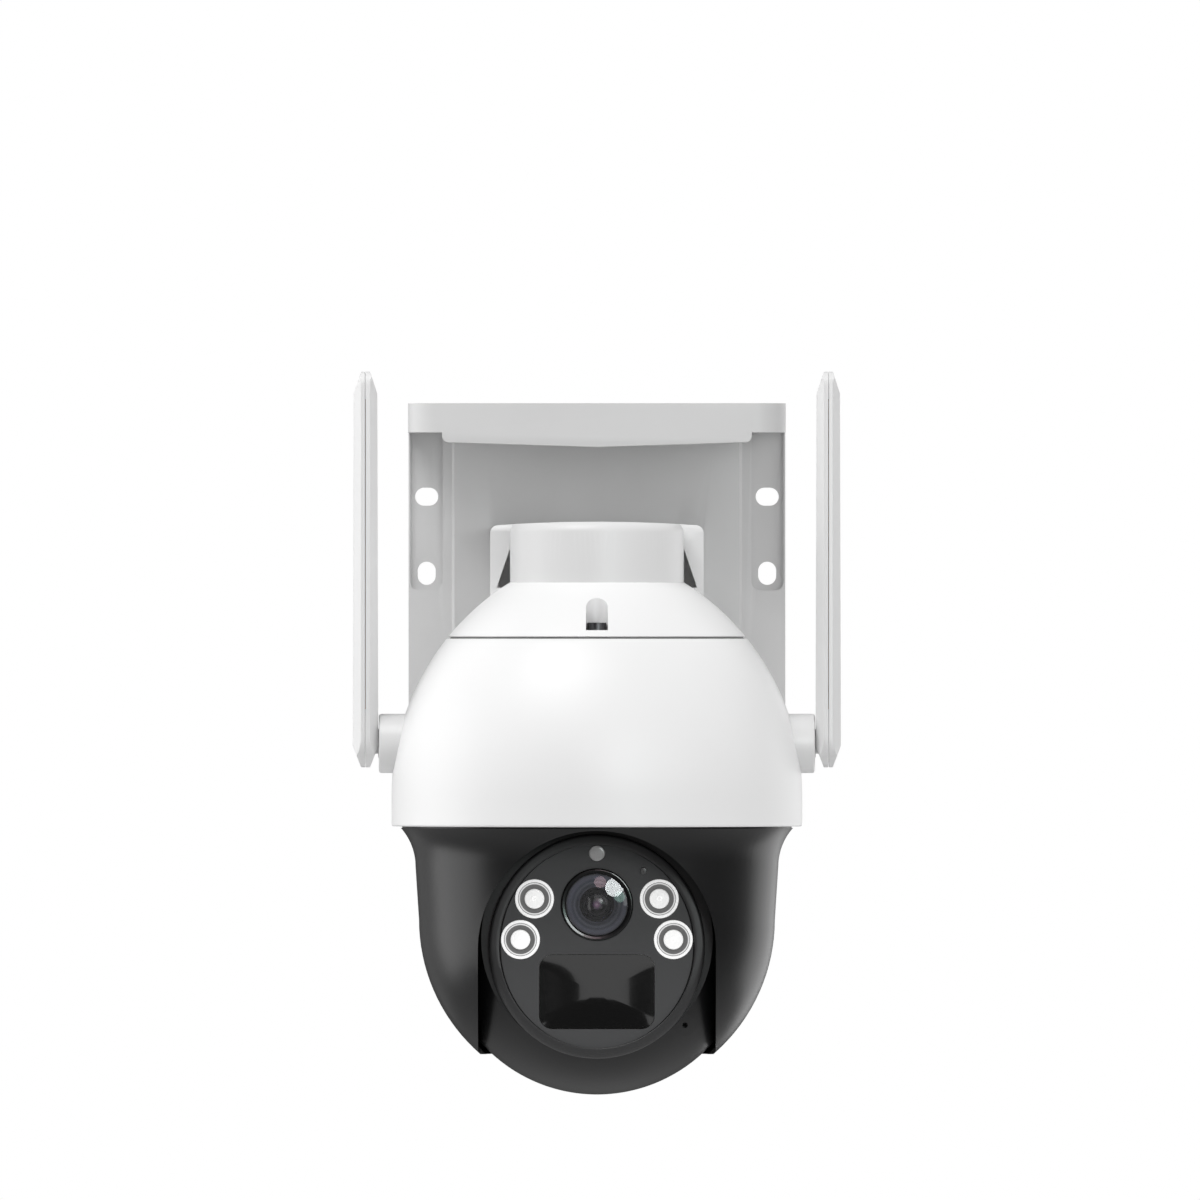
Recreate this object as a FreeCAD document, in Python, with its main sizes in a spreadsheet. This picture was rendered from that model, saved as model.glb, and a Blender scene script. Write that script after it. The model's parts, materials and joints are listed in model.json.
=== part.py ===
"""Pan-and-tilt security camera on an L-shaped wall bracket, in millimetres.

Frame: origin at the centre of the four wall slots, on the wall plane. +Z up, +X right as seen
by a person facing the camera, and the camera reaches out towards -Y. "Forward" sizes below are
distances towards -Y. The dome, the pan gears and the yoke turn about the vertical pan axis. The
ball turns about the horizontal tilt axis, and each aerial about its own hinge.
"""
import FreeCAD, Part
import math
import os

import Sketcher
from fcgear import fcgear, involute

# ---------------------------------------------------------------- driving dimensions
SIZES = {
    "Wall bracket": dict(
        bracket_width=110.6, bracket_rise=38.5, bracket_drop=60.0, hood_reach=55.0,
        ear_thickness=8.5, strip_thickness=10.2, panel_thickness=11.4, panel_crown=12.8,
        panel_half_width=42.2, panel_edge=0.8, ear_inner=45.3, ear_rim=0.5,
        ear_floor_drop=16.3, pocket_corner=2.6, tab_corner=1.8,
        bracket_wall=2.6, hood_corner=9.5, slot_half_spacing=50.0, slot_rise=11.25,
        slot_width=5.3, slot_length=6.8, cable_drop=12.0, cable_radius=6.5),
    "Arm": dict(
        arm_half_width=31.2, arm_top=2.8, arm_crown=1.1, arm_bottom=24.0, arm_wall=2.4,
        arm_socket=2.3, arm_front=4.0, arm_edge=3.2, neck_radius=25.3, arm_screw_across=20.0,
        arm_screw_drop=17.0, arm_screw_seat=4.5, neck_screw_circle=18.0, arm_corner=2.4,
        gusset_apex_drop=4.0, gusset_foot_drop=15.5, gusset_spread=4.0),
    "Fastenings": dict(
        screw_clearance=1.7, screw_pilot=1.5, screw_post=3.4, head_clearance=3.1,
        grille_hole=0.9, grille_pitch=3.4, rib_half=1.2),
    "Dome": dict(
        axis_forward=75.0, dome_radius=60.0, dome_curve=73.5, dome_equator=76.3, dome_top=14.0,
        seam_drop=29.9, seam_gap=0.5, rim_drop=85.2, dome_wall=2.4,
        well_circle=35.1, well_radius=3.2, well_floor=27.9),
    "Inside the dome": dict(
        chassis_radius=55.0, chassis_top=62.6, chassis_thickness=3.0, plate_gap=0.7,
        chassis_screw_circle=50.5,
        board_drop=48.0, board_radius=43.0, board_thickness=1.6, board_post_circle=37.0,
        motor_radius=10.0, motor_length=15.0, gear_thickness=3.5, pan_gear_top=57.9,
        pan_gear_teeth=60, pan_pinion_teeth=15, pan_module=0.8, gear_bore=4.5,
        hub_radius=7.0, hub_flange=16.0, bush_radius=9.5, running_fit=0.05,
        speaker_radius=14.0, speaker_depth=5.0, speaker_back=36.0, speaker_drop=48.0),
    "Aerials": dict(
        hinge_drop=61.0, socket_radius=8.65, socket_bore=4.2, socket_inner=49.0,
        socket_outer=63.7, aerial_inner=63.9, aerial_thickness=7.4, aerial_depth=18.0,
        aerial_top=47.6, aerial_bottom=68.0, aerial_taper=6.4, aerial_edge_flat=2.6,
        aerial_bevel_depth=3.6, aerial_wall=1.4, aerial_seam=0.15),
    "Yoke": dict(
        drum_radius=56.9, drum_top=68.3, drum_plate=3.0, drum_step=73.0,
        drum_step_radius=43.0, yoke_shoulder=85.7,
        yoke_shoulder_radius=57.3, cove_radius=17.0, cove_drop=97.0, cove_low_radius=53.0,
        yoke_centre=112.5, yoke_radius=52.0, yoke_cavity=49.5, yoke_bottom=151.8,
        slot_half=34.7, slot_arch=121.0, cover_gap=0.15, cover_screw_forward=-48.5, ball_gap=1.3),
    "Ball": dict(
        ball_drop=118.1, ball_radius=45.5, ball_wall=2.2, face_forward=30.5,
        bezel_half_width=31.5, bezel_half_height=32.75, bezel_inner_width=28.3,
        bezel_inner_height=30.0, bezel_depth=2.7, face_shift=2.0, axle_radius=4.0,
        bush_outer=6.0, axle_seat=47.2, axle_flange=6.5, tilt_gear_teeth=50,
        tilt_pinion_teeth=12, tilt_module=0.6, tilt_gear_inner=32.0),
    "Optics": dict(
        lens_rise=10.2, lens_ring=10.5, lens_glass=8.9, lens_inner=5.0, lens_depth=23.5,
        camera_board_forward=8.0, camera_board_side=36.0, led_radius=5.65, led_upper_x=18.2,
        led_upper_rise=11.9, led_lower_x=22.3, led_disc=2.8, led_board_forward=26.0,
        light_sensor_rise=25.2, light_sensor_radius=2.3, status_x=13.6, status_rise=20.1,
        status_radius=1.0, pir_width=33.4, pir_height=21.5, pir_drop=15.2, pir_corner=3.8,
        mic_x=25.7, mic_drop=25.0, mic_hole=0.8, mic_radius=2.0, mic_length=3.0,
        fit_gap=0.2, door_width=24.0, door_length=14.0, door_angle=22.0, button_angle=50.0,
        button_radius=1.5),
}


class Size:
    """A number together with the sheet expression that gives it, so sums keep their formula."""

    def __init__(self, value, text=None):
        self.value = float(value)
        self.text = repr(self.value) if text is None else text

    def joined(self, other, sign, value):
        return Size(value, "(%s %s %s)" % (self.text, sign, size(other).text))

    def __add__(self, other):
        return self.joined(other, "+", self.value + size(other).value)

    def __sub__(self, other):
        return self.joined(other, "-", self.value - size(other).value)

    def __mul__(self, other):
        return self.joined(other, "*", self.value * size(other).value)

    def __truediv__(self, other):
        return self.joined(other, "/", self.value / size(other).value)

    def __rsub__(self, other):
        return size(other) - self

    def __neg__(self):
        return Size(-self.value, "(0 - %s)" % self.text)

    def __float__(self):
        return self.value

    __radd__ = __add__
    __rmul__ = __mul__


def size(number):
    """Any number as a Size."""
    return number if isinstance(number, Size) else Size(number)


def root(number):
    """Square root that keeps its formula."""
    return Size(math.sqrt(number.value), "sqrt(%s)" % number.text)


class Sheet:
    """The spreadsheet, read as attributes: s.dome_radius is that cell as a Size."""

    def __init__(self, doc, groups):
        self.sheet = doc.addObject("Spreadsheet::Sheet", "Sizes")
        row = 0
        for group, cells in groups.items():
            row += 1
            self.sheet.set("A%d" % row, group)
            for alias, value in cells.items():
                row += 1
                self.sheet.set("A%d" % row, alias)
                self.sheet.set("B%d" % row, repr(value))
                self.sheet.setAlias("B%d" % row, alias)
        doc.recompute()

    def __getattr__(self, alias):
        return Size(self.sheet.get(alias), "Sizes.%s" % alias)


doc = FreeCAD.newDocument("SecurityCamera")
BEYOND = 80  # radius of cutters that reach past the whole dome
s = Sheet(doc, SIZES)
V = FreeCAD.Vector
pieces = []


# ---------------------------------------------------------------- modelling helpers
def bind(obj, prop, amount):
    """Tie a property to its formula."""
    obj.setExpression(prop, size(amount).text)


def place(obj, x=0, y=0, z=0):
    """Tie an object's position to three formulas."""
    for axis, amount in (("x", x), ("y", y), ("z", z)):
        bind(obj, "Placement.Base." + axis, amount)
    return obj


def block(x, y, z):
    """Box between the two limits given for each axis."""
    box = doc.addObject("Part::Box", "block")
    for prop, (low, high) in (("Length", x), ("Width", y), ("Height", z)):
        bind(box, prop, size(high) - low)
    return place(box, x[0], y[0], z[0])


AXIS_TURN = {"x": FreeCAD.Rotation(V(0, 1, 0), 90), "y": FreeCAD.Rotation(V(1, 0, 0), -90),
             "z": FreeCAD.Rotation()}


def laid(obj, axis, start, at):
    """Turn an object made along Z onto an axis, its foot at start, its centre line at `at`."""
    obj.Placement.Rotation = AXIS_TURN[axis]
    spot = {"x": (start, at[0], at[1]), "y": (at[0], start, at[1]), "z": (at[0], at[1], start)}
    return place(obj, *spot[axis])


def rod(radius, limits, at=(0, 0), axis="z"):
    """Cylinder along an axis between two limits; `at` is its place on the other two axes."""
    cylinder = doc.addObject("Part::Cylinder", "rod")
    bind(cylinder, "Radius", radius)
    bind(cylinder, "Height", size(limits[1]) - limits[0])
    return laid(cylinder, axis, limits[0], at)


def cone(start_radius, end_radius, limits, at=(0, 0), axis="z"):
    """Cone frustum along an axis between two limits."""
    frustum = doc.addObject("Part::Cone", "cone")
    bind(frustum, "Radius1", start_radius)
    bind(frustum, "Radius2", end_radius)
    bind(frustum, "Height", size(limits[1]) - limits[0])
    return laid(frustum, axis, limits[0], at)


def ball(radius, x, y, z):
    """Sphere at a point."""
    sphere = doc.addObject("Part::Sphere", "ball")
    bind(sphere, "Radius", radius)
    return place(sphere, x, y, z)


def fuse(*shapes):
    """Union of several objects."""
    union = doc.addObject("Part::MultiFuse", "union")
    union.Shapes = list(shapes)
    union.Refine = True
    return union


def cut(base, *tools):
    """Base without the tools."""
    result = doc.addObject("Part::Cut", "cut")
    result.Base = base
    result.Tool = tools[0] if len(tools) == 1 else fuse(*tools)
    result.Refine = True
    return result


def common(*shapes):
    """Overlap of several objects."""
    overlap = doc.addObject("Part::MultiCommon", "overlap")
    overlap.Shapes = list(shapes)
    return overlap


def tube(outer, inner, limits, at=(0, 0), axis="z"):
    """Round tube along an axis."""
    return cut(rod(outer, limits, at, axis), rod(inner, limits, at, axis))


def group(members):
    """Identical separate solids kept as one node."""
    bundle = doc.addObject("Part::Compound", "group")
    bundle.Links = list(members)
    return bundle


def keep(name, obj):
    """Name a finished piece and list it for writing."""
    obj.Label = name
    pieces.append(obj)
    return obj


def left(radius):
    """Arc that turns left, between two corners of an outline."""
    return ("left", radius)


def right(radius):
    """Arc that turns right, between two corners of an outline."""
    return ("right", radius)


def arc_between(start, end, side, radius):
    """The minor arc from start to end; its centre lies on the given side of the walk."""
    half = (end - start) * 0.5
    away = math.sqrt(max(radius ** 2 - half.Length ** 2, 0.0))
    normal = V(-half.y, half.x, 0).normalize()
    centre = start + half + normal * (away if side == "left" else -away)
    if side == "right":
        start, end = end, start
    angles = [math.atan2(p.y - centre.y, p.x - centre.x) for p in (start, end)]
    return Part.ArcOfCircle(Part.Circle(centre, V(0, 0, 1), radius), *angles)


def outline(sketch, steps):
    """Close a fully constrained outline through (x, y) corners, with left() or right() arcs."""
    corners, arcs = [], {}
    for step in steps:
        if step[0] in ("left", "right"):
            arcs[len(corners) - 1] = step
        else:
            corners.append((size(step[0]), size(step[1])))
    points = [V(x.value, y.value, 0) for x, y in corners]
    base = sketch.GeometryCount
    ends = []
    for i, point in enumerate(points):
        following = points[(i + 1) % len(points)]
        if i in arcs:
            side, radius = arcs[i]
            sketch.addGeometry(arc_between(point, following, side, float(radius)), False)
            n = sketch.addConstraint(Sketcher.Constraint("Radius", base + i, float(radius)))
            sketch.setExpression("Constraints[%d]" % n, size(radius).text)
            ends.append((1, 2) if side == "left" else (2, 1))
        else:
            sketch.addGeometry(Part.LineSegment(point, following), False)
            ends.append((1, 2))
    for i, (x, y) in enumerate(corners):
        before = (i - 1) % len(corners)
        sketch.addConstraint(Sketcher.Constraint(
            "Coincident", base + before, ends[before][1], base + i, ends[i][0]))
        for kind, amount, axis in (("DistanceX", x, -2), ("DistanceY", y, -1)):
            if amount.value == 0.0:
                sketch.addConstraint(Sketcher.Constraint(
                    "PointOnObject", base + i, ends[i][0], axis))
                continue
            n = sketch.addConstraint(Sketcher.Constraint(
                kind, -1, 1, base + i, ends[i][0], amount.value))
            sketch.setExpression("Constraints[%d]" % n, amount.text)
    return sketch


def circle(sketch, radius, x=0, y=0):
    """Add a dimensioned circle to a sketch."""
    n = sketch.addGeometry(Part.Circle(V(float(x), float(y), 0), V(0, 0, 1), float(radius)), False)
    for kind, amount, axis in (("DistanceX", size(x), -2), ("DistanceY", size(y), -1)):
        if amount.value == 0.0:
            sketch.addConstraint(Sketcher.Constraint("PointOnObject", n, 3, axis))
        else:
            c = sketch.addConstraint(Sketcher.Constraint(kind, -1, 1, n, 3, amount.value))
            sketch.setExpression("Constraints[%d]" % c, amount.text)
    c = sketch.addConstraint(Sketcher.Constraint("Radius", n, float(radius)))
    sketch.setExpression("Constraints[%d]" % c, size(radius).text)
    return sketch


def new_body(name):
    """Empty body; its own origin planes carry its sketches."""
    return doc.addObject("PartDesign::Body", name)


def new_sketch(body, plane, offset=0):
    """Sketch on an origin plane, moved along the plane's normal by offset."""
    sketch = body.newObject("Sketcher::SketchObject", "sketch")
    support = [f for f in body.Origin.OriginFeatures if f.Role == plane + "_Plane"][0]
    sketch.AttachmentSupport = [(support, "")]
    sketch.MapMode = "FlatFace"
    bind(sketch, "AttachmentOffset.Base.z", offset)
    return sketch


def pad(body, sketch, length):
    """Pad a sketch along its normal."""
    feature = body.newObject("PartDesign::Pad", "pad")
    feature.Profile = sketch
    bind(feature, "Length", length)
    return feature


def pocket(body, sketch, length):
    """Pocket a sketch along its normal, into the solid."""
    feature = body.newObject("PartDesign::Pocket", "pocket")
    feature.Profile = sketch
    feature.Reversed = True
    bind(feature, "Length", length)
    return feature


def around(body, feature, count, plane_axis="Z_Axis"):
    """Repeat a feature evenly round the body's own axis."""
    pattern = body.newObject("PartDesign::PolarPattern", "ring")
    pattern.Originals = [feature]
    axis = [f for f in body.Origin.OriginFeatures if f.Role == plane_axis][0]
    pattern.Axis = (axis, [""])
    pattern.Angle = 360
    pattern.Occurrences = count
    body.Tip = pattern
    return pattern


def spun(name, steps, at=None):
    """Body turned from a half outline of (radius, height) corners about a vertical axis."""
    body = new_body(name)
    sketch = outline(new_sketch(body, "XZ"), steps)
    turn = body.newObject("PartDesign::Revolution", "turn")
    turn.Profile = sketch
    turn.ReferenceAxis = (sketch, ["V_Axis"])
    turn.Angle = 360
    return place(body, *(at or (0, -s.axis_forward, 0)))


def spun_forward(name, steps, x, z):
    """Body turned from (radius, forward) corners about a line that points forward."""
    body = spun(name, steps, (x, -s.axis_forward, z))
    body.Placement.Rotation = FreeCAD.Rotation(V(1, 0, 0), 90)
    return body


def slab(name, steps, plane, limits, at=(0, 0, 0)):
    """Body padded from an outline on XY, XZ or YZ between two limits along +Z, -Y or +X."""
    body = new_body(name)
    sketch = outline(new_sketch(body, plane, limits[0]), steps)
    pad(body, sketch, size(limits[1]) - limits[0])
    return place(body, *at)


def oval(half_width, half_height, forward, x=0, z=0):
    """Upright elliptical plate between two forward distances from the pan axis."""
    ellipse = doc.addObject("Part::Ellipse", "ellipse")
    bind(ellipse, "MajorRadius", half_height)
    bind(ellipse, "MinorRadius", half_width)
    ellipse.Placement.Rotation = FreeCAD.Rotation(V(0, 0, 1), V(-1, 0, 0), V(0, -1, 0), "ZXY")
    place(ellipse, x, -s.axis_forward - forward[0], z)
    solid = doc.addObject("Part::Extrusion", "oval")
    solid.Base = ellipse
    solid.DirMode = "Custom"
    solid.Dir = V(0, -1, 0)
    solid.Solid = True
    bind(solid, "LengthFwd", size(forward[1]) - forward[0])
    return solid


def rounded(width, height, radius, x=0, y=0):
    """Corners and arcs of a rounded rectangle about (x, y)."""
    w, h, r = size(width) / 2, size(height) / 2, size(radius)
    x, y = size(x), size(y)
    return [(x - w + r, y - h), (x + w - r, y - h), left(r), (x + w, y - h + r),
            (x + w, y + h - r), left(r), (x + w - r, y + h), (x - w + r, y + h), left(r),
            (x - w, y + h - r), (x - w, y - h + r), left(r)]


def toothed(module, teeth, turn, thickness, at, axis="z", start=0):
    """Toothed disc with true involute flanks; turn is where one tooth points, in degrees."""
    builder = fcgear.FCWireBuilder()
    involute.CreateExternalGear(builder, float(module), int(float(teeth)), 20, split=True)
    face = Part.Face(Part.Wire([edge.toShape() for edge in builder.wire]))
    disc = doc.addObject("Part::Feature", "teeth")
    disc.Shape = face.extrude(V(0, 0, float(thickness)))
    laid(disc, axis, start, at)
    disc.Placement.Rotation = disc.Placement.Rotation * FreeCAD.Rotation(V(0, 0, 1), turn)
    return disc


def screw(limits, at, axis="z", head_at_end=False, head=2.75, shank=1.5, head_height=2.2):
    """Pan-head screw; limits run from the tip to the top of its head, or the other way."""
    low, high = size(limits[0]), size(limits[1])
    if head_at_end:
        head_limits, shank_limits = (high - head_height, high), (low, high - head_height)
        recess_limits = (high - 1.2, high)
    else:
        head_limits, shank_limits = (low, low + head_height), (low + head_height, high)
        recess_limits = (low, low + 1.2)
    body = fuse(rod(head, head_limits, at, axis), rod(shank, shank_limits, at, axis))
    return cut(body, rod(head * 0.42, recess_limits, at, axis))


def ring_points(count, circle_radius, first):
    """Offsets (x, y) from the pan axis for `count` places on a circle, as formulas."""
    spots = []
    for i in range(count):
        angle = first + 360.0 * i / count
        across = size(circle_radius) * round(math.cos(math.radians(angle)), 9)
        along = size(circle_radius) * round(math.sin(math.radians(angle)), 9)
        spots.append((across, along - s.axis_forward))
    return spots


# ---------------------------------------------------------------- wall bracket and arm
def wall_section():
    """Cross-section of the wall leg: x across, y the thickness away from the wall."""
    w, step = s.bracket_width / 2, s.panel_edge / 2
    low, high = s.panel_half_width + step, s.panel_half_width - step
    crown_rise = s.panel_crown - s.panel_thickness
    crown = (high * high + crown_rise * crown_rise) / (crown_rise * 2)
    return [(-w, 0), (w, 0), (w, s.strip_thickness), (low, s.strip_thickness),
            (high, s.panel_thickness), left(crown), (-high, s.panel_thickness),
            (-low, s.strip_thickness), (-w, s.strip_thickness)]


def hood_section():
    """Cross-section of the hood: thin ears, then a round-cornered middle that falls to a V."""
    w, ear, corner = s.bracket_width / 2, s.ear_inner, s.tab_corner
    return [(-w, 0), (w, 0), (w, s.ear_thickness), (ear, s.ear_thickness),
            (ear, s.panel_thickness - corner), left(corner), (ear - corner, s.panel_thickness),
            (0, s.panel_crown), (corner - ear, s.panel_thickness), left(corner),
            (-ear, s.panel_thickness - corner), (-ear, s.ear_thickness),
            (-w, s.ear_thickness)]


def arm_outline(grow=0):
    """Front view of the arm: flat sides, crowned top; grow makes the socket that holds it."""
    w, top = s.arm_half_width + grow, s.arm_top + grow
    crown = (w * w + s.arm_crown * s.arm_crown) / (s.arm_crown * 2)
    corner = s.arm_corner
    low = -s.arm_bottom - grow
    return [(-w, low), (w, low), (w, top - corner), left(corner), (w - corner, top),
            left(crown), (corner - w, top), left(corner), (-w, top - corner)]


def wall_bracket():
    """L-shaped moulding: a wall leg and a hood, each with two recessed slotted ears."""
    w, wall = s.bracket_width / 2, s.bracket_wall
    wall_leg = slab("wall_leg", wall_section(), "XY", (-s.bracket_drop, s.bracket_rise))
    wall_leg.Placement.Rotation = FreeCAD.Rotation(V(0, 0, 1), 180)
    hood = slab("hood", hood_section(), "XZ", (0, s.hood_reach))
    hood.Placement.Rotation = FreeCAD.Rotation(V(0, 1, 0), 180)
    place(hood, 0, 0, s.bracket_rise)
    r = s.hood_corner
    pocket_width = w - s.ear_rim - s.ear_inner
    pocket_height = s.bracket_rise + s.ear_floor_drop
    pockets = [slab("ear_pocket", rounded(pocket_width, pocket_height, s.pocket_corner,
                                          (s.ear_inner + pocket_width / 2) * side,
                                          (s.bracket_rise - s.ear_floor_drop) / 2),
                    "XZ", (s.ear_thickness, s.strip_thickness + 1)) for side in (-1, 1)]
    mould = fuse(cut(wall_leg, *pockets), hood)
    plan = slab("plan", [(-w, 0), (-w, r - s.hood_reach), left(r), (r - w, -s.hood_reach),
                         (w - r, -s.hood_reach), left(r), (w, r - s.hood_reach), (w, 0)],
                "XY", (-s.bracket_drop, s.bracket_rise))
    mould = common(mould, plan)
    hollows = [
        block((wall - w, w - wall), (wall - s.ear_thickness, 1),
              (wall - s.bracket_drop, s.bracket_rise - s.panel_crown)),
        block((wall - w, w - wall), (r - s.hood_reach, -s.panel_crown),
              (s.bracket_rise - s.ear_thickness + wall, s.bracket_rise + 1))]
    slot_pads, slots = [], []
    reach = s.slot_length / 2 + wall
    for side in (-1, 1):
        x = s.slot_half_spacing * side
        slot_pads.append(block((x - reach, x + reach), (-s.ear_thickness, 0),
                               (-s.slot_rise - reach, s.slot_rise + reach)))
        slot_pads.append(block((x - reach, x + reach), (-s.hood_reach / 2 - reach - 8,
                                                        -s.hood_reach / 2 + reach + 8),
                               (s.bracket_rise - s.ear_thickness, s.bracket_rise)))
    inner = common(fuse(*slot_pads), block((-w, w), (-s.hood_reach, 0),
                                           (-s.bracket_drop, s.bracket_rise)))
    middle = s.cable_radius + wall
    ribs = [block((-s.arm_half_width, s.arm_half_width), (-s.ear_thickness, 0),
                  (-s.cable_drop - middle, middle)),
            block((-w + 1, w - 1), (-s.ear_thickness, 0), (-s.bracket_drop + 14,
                                                           -s.bracket_drop + 14 + wall))]
    mould = fuse(cut(mould, *hollows), inner, *ribs)
    half, long = s.slot_width / 2, (s.slot_length - s.slot_width) / 2
    for side in (-1, 1):
        x = s.slot_half_spacing * side
        slots += slot_cut(x, s.slot_rise, long, 0, "y", half)
        slots += slot_cut(x, -s.slot_rise, 0, long, "y", half)
        for y_shift in (-s.slot_rise / 2, s.slot_rise / 2):
            slots += slot_cut(x, -s.hood_reach / 2 + y_shift, 0, long, "z", half)
    socket = slab("arm_socket", arm_outline(0.1), "XZ",
                  (s.panel_thickness - s.arm_socket, s.panel_crown + 1))
    cable = rod(s.cable_radius, (-s.panel_crown, 1), (0, -s.cable_drop), "y")
    screw_spots = [(x, -s.arm_screw_drop * k)
                   for x in (-s.arm_screw_across, s.arm_screw_across) for k in (0, 1)]
    holes = [rod(s.screw_clearance, (-s.panel_crown, 1), spot, "y") for spot in screw_spots]
    holes += [rod(s.head_clearance, (-s.arm_screw_seat, 1), spot, "y") for spot in screw_spots]
    keep("wall_bracket", cut(mould, socket, cable, *slots, *holes))


def slot_cut(x, across, run_x, run_across, axis, half):
    """Cutters for one slot through a leg; across is its place along the leg."""
    limits = (-s.panel_crown, 1) if axis == "y" else (s.bracket_rise - s.panel_crown,
                                                      s.bracket_rise + 1)
    ends = [rod(half, limits, (x + run_x * k, across + run_across * k), axis) for k in (-1, 1)]
    wide_x = (x - run_x - (half if float(run_x) == 0 else 0),
              x + run_x + (half if float(run_x) == 0 else 0))
    tall = (across - run_across - (half if float(run_across) == 0 else 0),
            across + run_across + (half if float(run_across) == 0 else 0))
    middle = block(wide_x, limits, tall) if axis == "y" else block(wide_x, tall, limits)
    return ends + [middle]


def dome_steps(top_drop, bottom_drop, inset=0):
    """Dome outline between two drops below the origin, moved inwards by inset."""
    curve, radius = s.dome_curve - inset, s.dome_radius - inset
    rise = s.dome_equator - top_drop
    top = root(curve * curve - rise * rise) + s.dome_radius - s.dome_curve
    return [(0, -bottom_drop), (radius, -bottom_drop), (radius, -s.dome_equator), left(curve),
            (top, -top_drop), (0, -top_drop)]


def bracket_arm():
    """Channel from the wall leg to the neck that carries the dome."""
    back = s.panel_thickness - s.arm_socket
    front = s.axis_forward - s.arm_front
    wall = s.arm_wall
    side_view = slab("arm_side", [(-front, -s.arm_bottom - 1), (-back + 1, -s.arm_bottom - 1),
                                  (-back + 1, s.arm_top + s.arm_crown),
                                  (s.arm_edge - front, s.arm_top + s.arm_crown),
                                  left(s.arm_edge),
                                  (-front, s.arm_top + s.arm_crown - s.arm_edge)], "YZ",
                     (-s.arm_half_width - 1, s.arm_half_width + 1))
    shell = common(slab("arm_channel", arm_outline(), "XZ", (back, front)), side_view)
    hollow = slab("arm_hollow", arm_outline(-wall), "XZ", (back + 3, front - wall))
    bay = block((wall - s.arm_half_width, s.arm_half_width - wall), (wall - front, -back - 3),
                (-s.arm_bottom - 1, -s.arm_bottom / 2))
    axis = (0, -s.axis_forward)
    neck_top = s.arm_top + s.arm_crown
    edge = s.arm_edge
    crowned = slab("neck_limit", arm_outline(), "XZ",
                   (s.axis_forward - s.neck_radius - 1, s.axis_forward + s.neck_radius + 1))
    neck = common(spun("neck", [(0, -s.dome_top), (s.neck_radius, -s.dome_top),
                                (s.neck_radius, neck_top - edge), left(edge),
                                (s.neck_radius - edge, neck_top), (0, neck_top)]), crowned)
    neck_hollow = rod(s.neck_radius - wall, (-s.dome_top - 1, neck_top - wall), axis)
    apex, foot = s.neck_radius + 0.1, s.neck_radius + s.gusset_spread
    gussets = [slab("gusset", [(apex * k, -s.gusset_apex_drop), (foot * k, -s.gusset_foot_drop),
                               (apex * k, -s.gusset_foot_drop)],
                    "XZ", (front - wall - 1, front + 1)) for k in (-1, 1)]
    over_dome = spun("dome_clear", dome_steps(s.dome_top, s.rim_drop, -0.15))
    posts = [rod(s.screw_post, (-s.dome_top, neck_top - 1), spot)
             for spot in ring_points(3, s.neck_screw_circle, 90)]
    rear = [rod(s.screw_post, (-back - 14, -back - 2), (x, -s.arm_screw_drop * k), "y")
            for x in (-s.arm_screw_across, s.arm_screw_across) for k in (0, 1)]
    pilots = [rod(s.screw_pilot, (-s.dome_top - 1, -2), spot)
              for spot in ring_points(3, s.neck_screw_circle, 90)]
    pilots += [rod(s.screw_pilot, (-back - 12, -back + 1), (x, -s.arm_screw_drop * k), "y")
               for x in (-s.arm_screw_across, s.arm_screw_across) for k in (0, 1)]
    wire_way = rod(s.cable_radius, (-back - 4, -back + 1), (0, -s.cable_drop), "y")
    body = cut(shell, hollow, bay, rod(s.neck_radius - wall, (-40, neck_top - wall), axis))
    body = fuse(body, cut(neck, neck_hollow), *posts, *rear)
    through = block((-14, 14), (-front - 4, wall - front + 4), (-s.dome_top + 1, -wall))
    keep("bracket_arm", cut(body, over_dome, wire_way, through, *gussets, *pilots))
    plate_low = -s.chassis_top - s.chassis_thickness
    keep("case_screws", group(
        [screw((-back - 9, 2.2 - s.arm_screw_seat), (x, -s.arm_screw_drop * k), "y", True)
         for x in (-s.arm_screw_across, s.arm_screw_across) for k in (0, 1)]
        + [screw((-s.dome_top - s.dome_wall - 2.2, -5), spot)
           for spot in ring_points(3, s.neck_screw_circle, 90)]
        + [screw((plate_low - 2.2, plate_low + 11), spot)
           for spot in ring_points(4, s.chassis_screw_circle, 45)]))


def cable_grommet():
    """Soft ring that lines the cable hole of the wall leg, flanged on the outlet side."""
    at = (0, -s.cable_drop)
    back = s.panel_thickness - s.arm_socket
    keep("cable_grommet", cut(
        fuse(rod(s.cable_radius - 0.05, (-back, -1), at, "y"),
             rod(s.cable_radius + 0.0, (-back - 3, -back), at, "y")),
        rod(s.cable_radius - 2.5, (-back - 4, 0), at, "y")))


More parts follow.
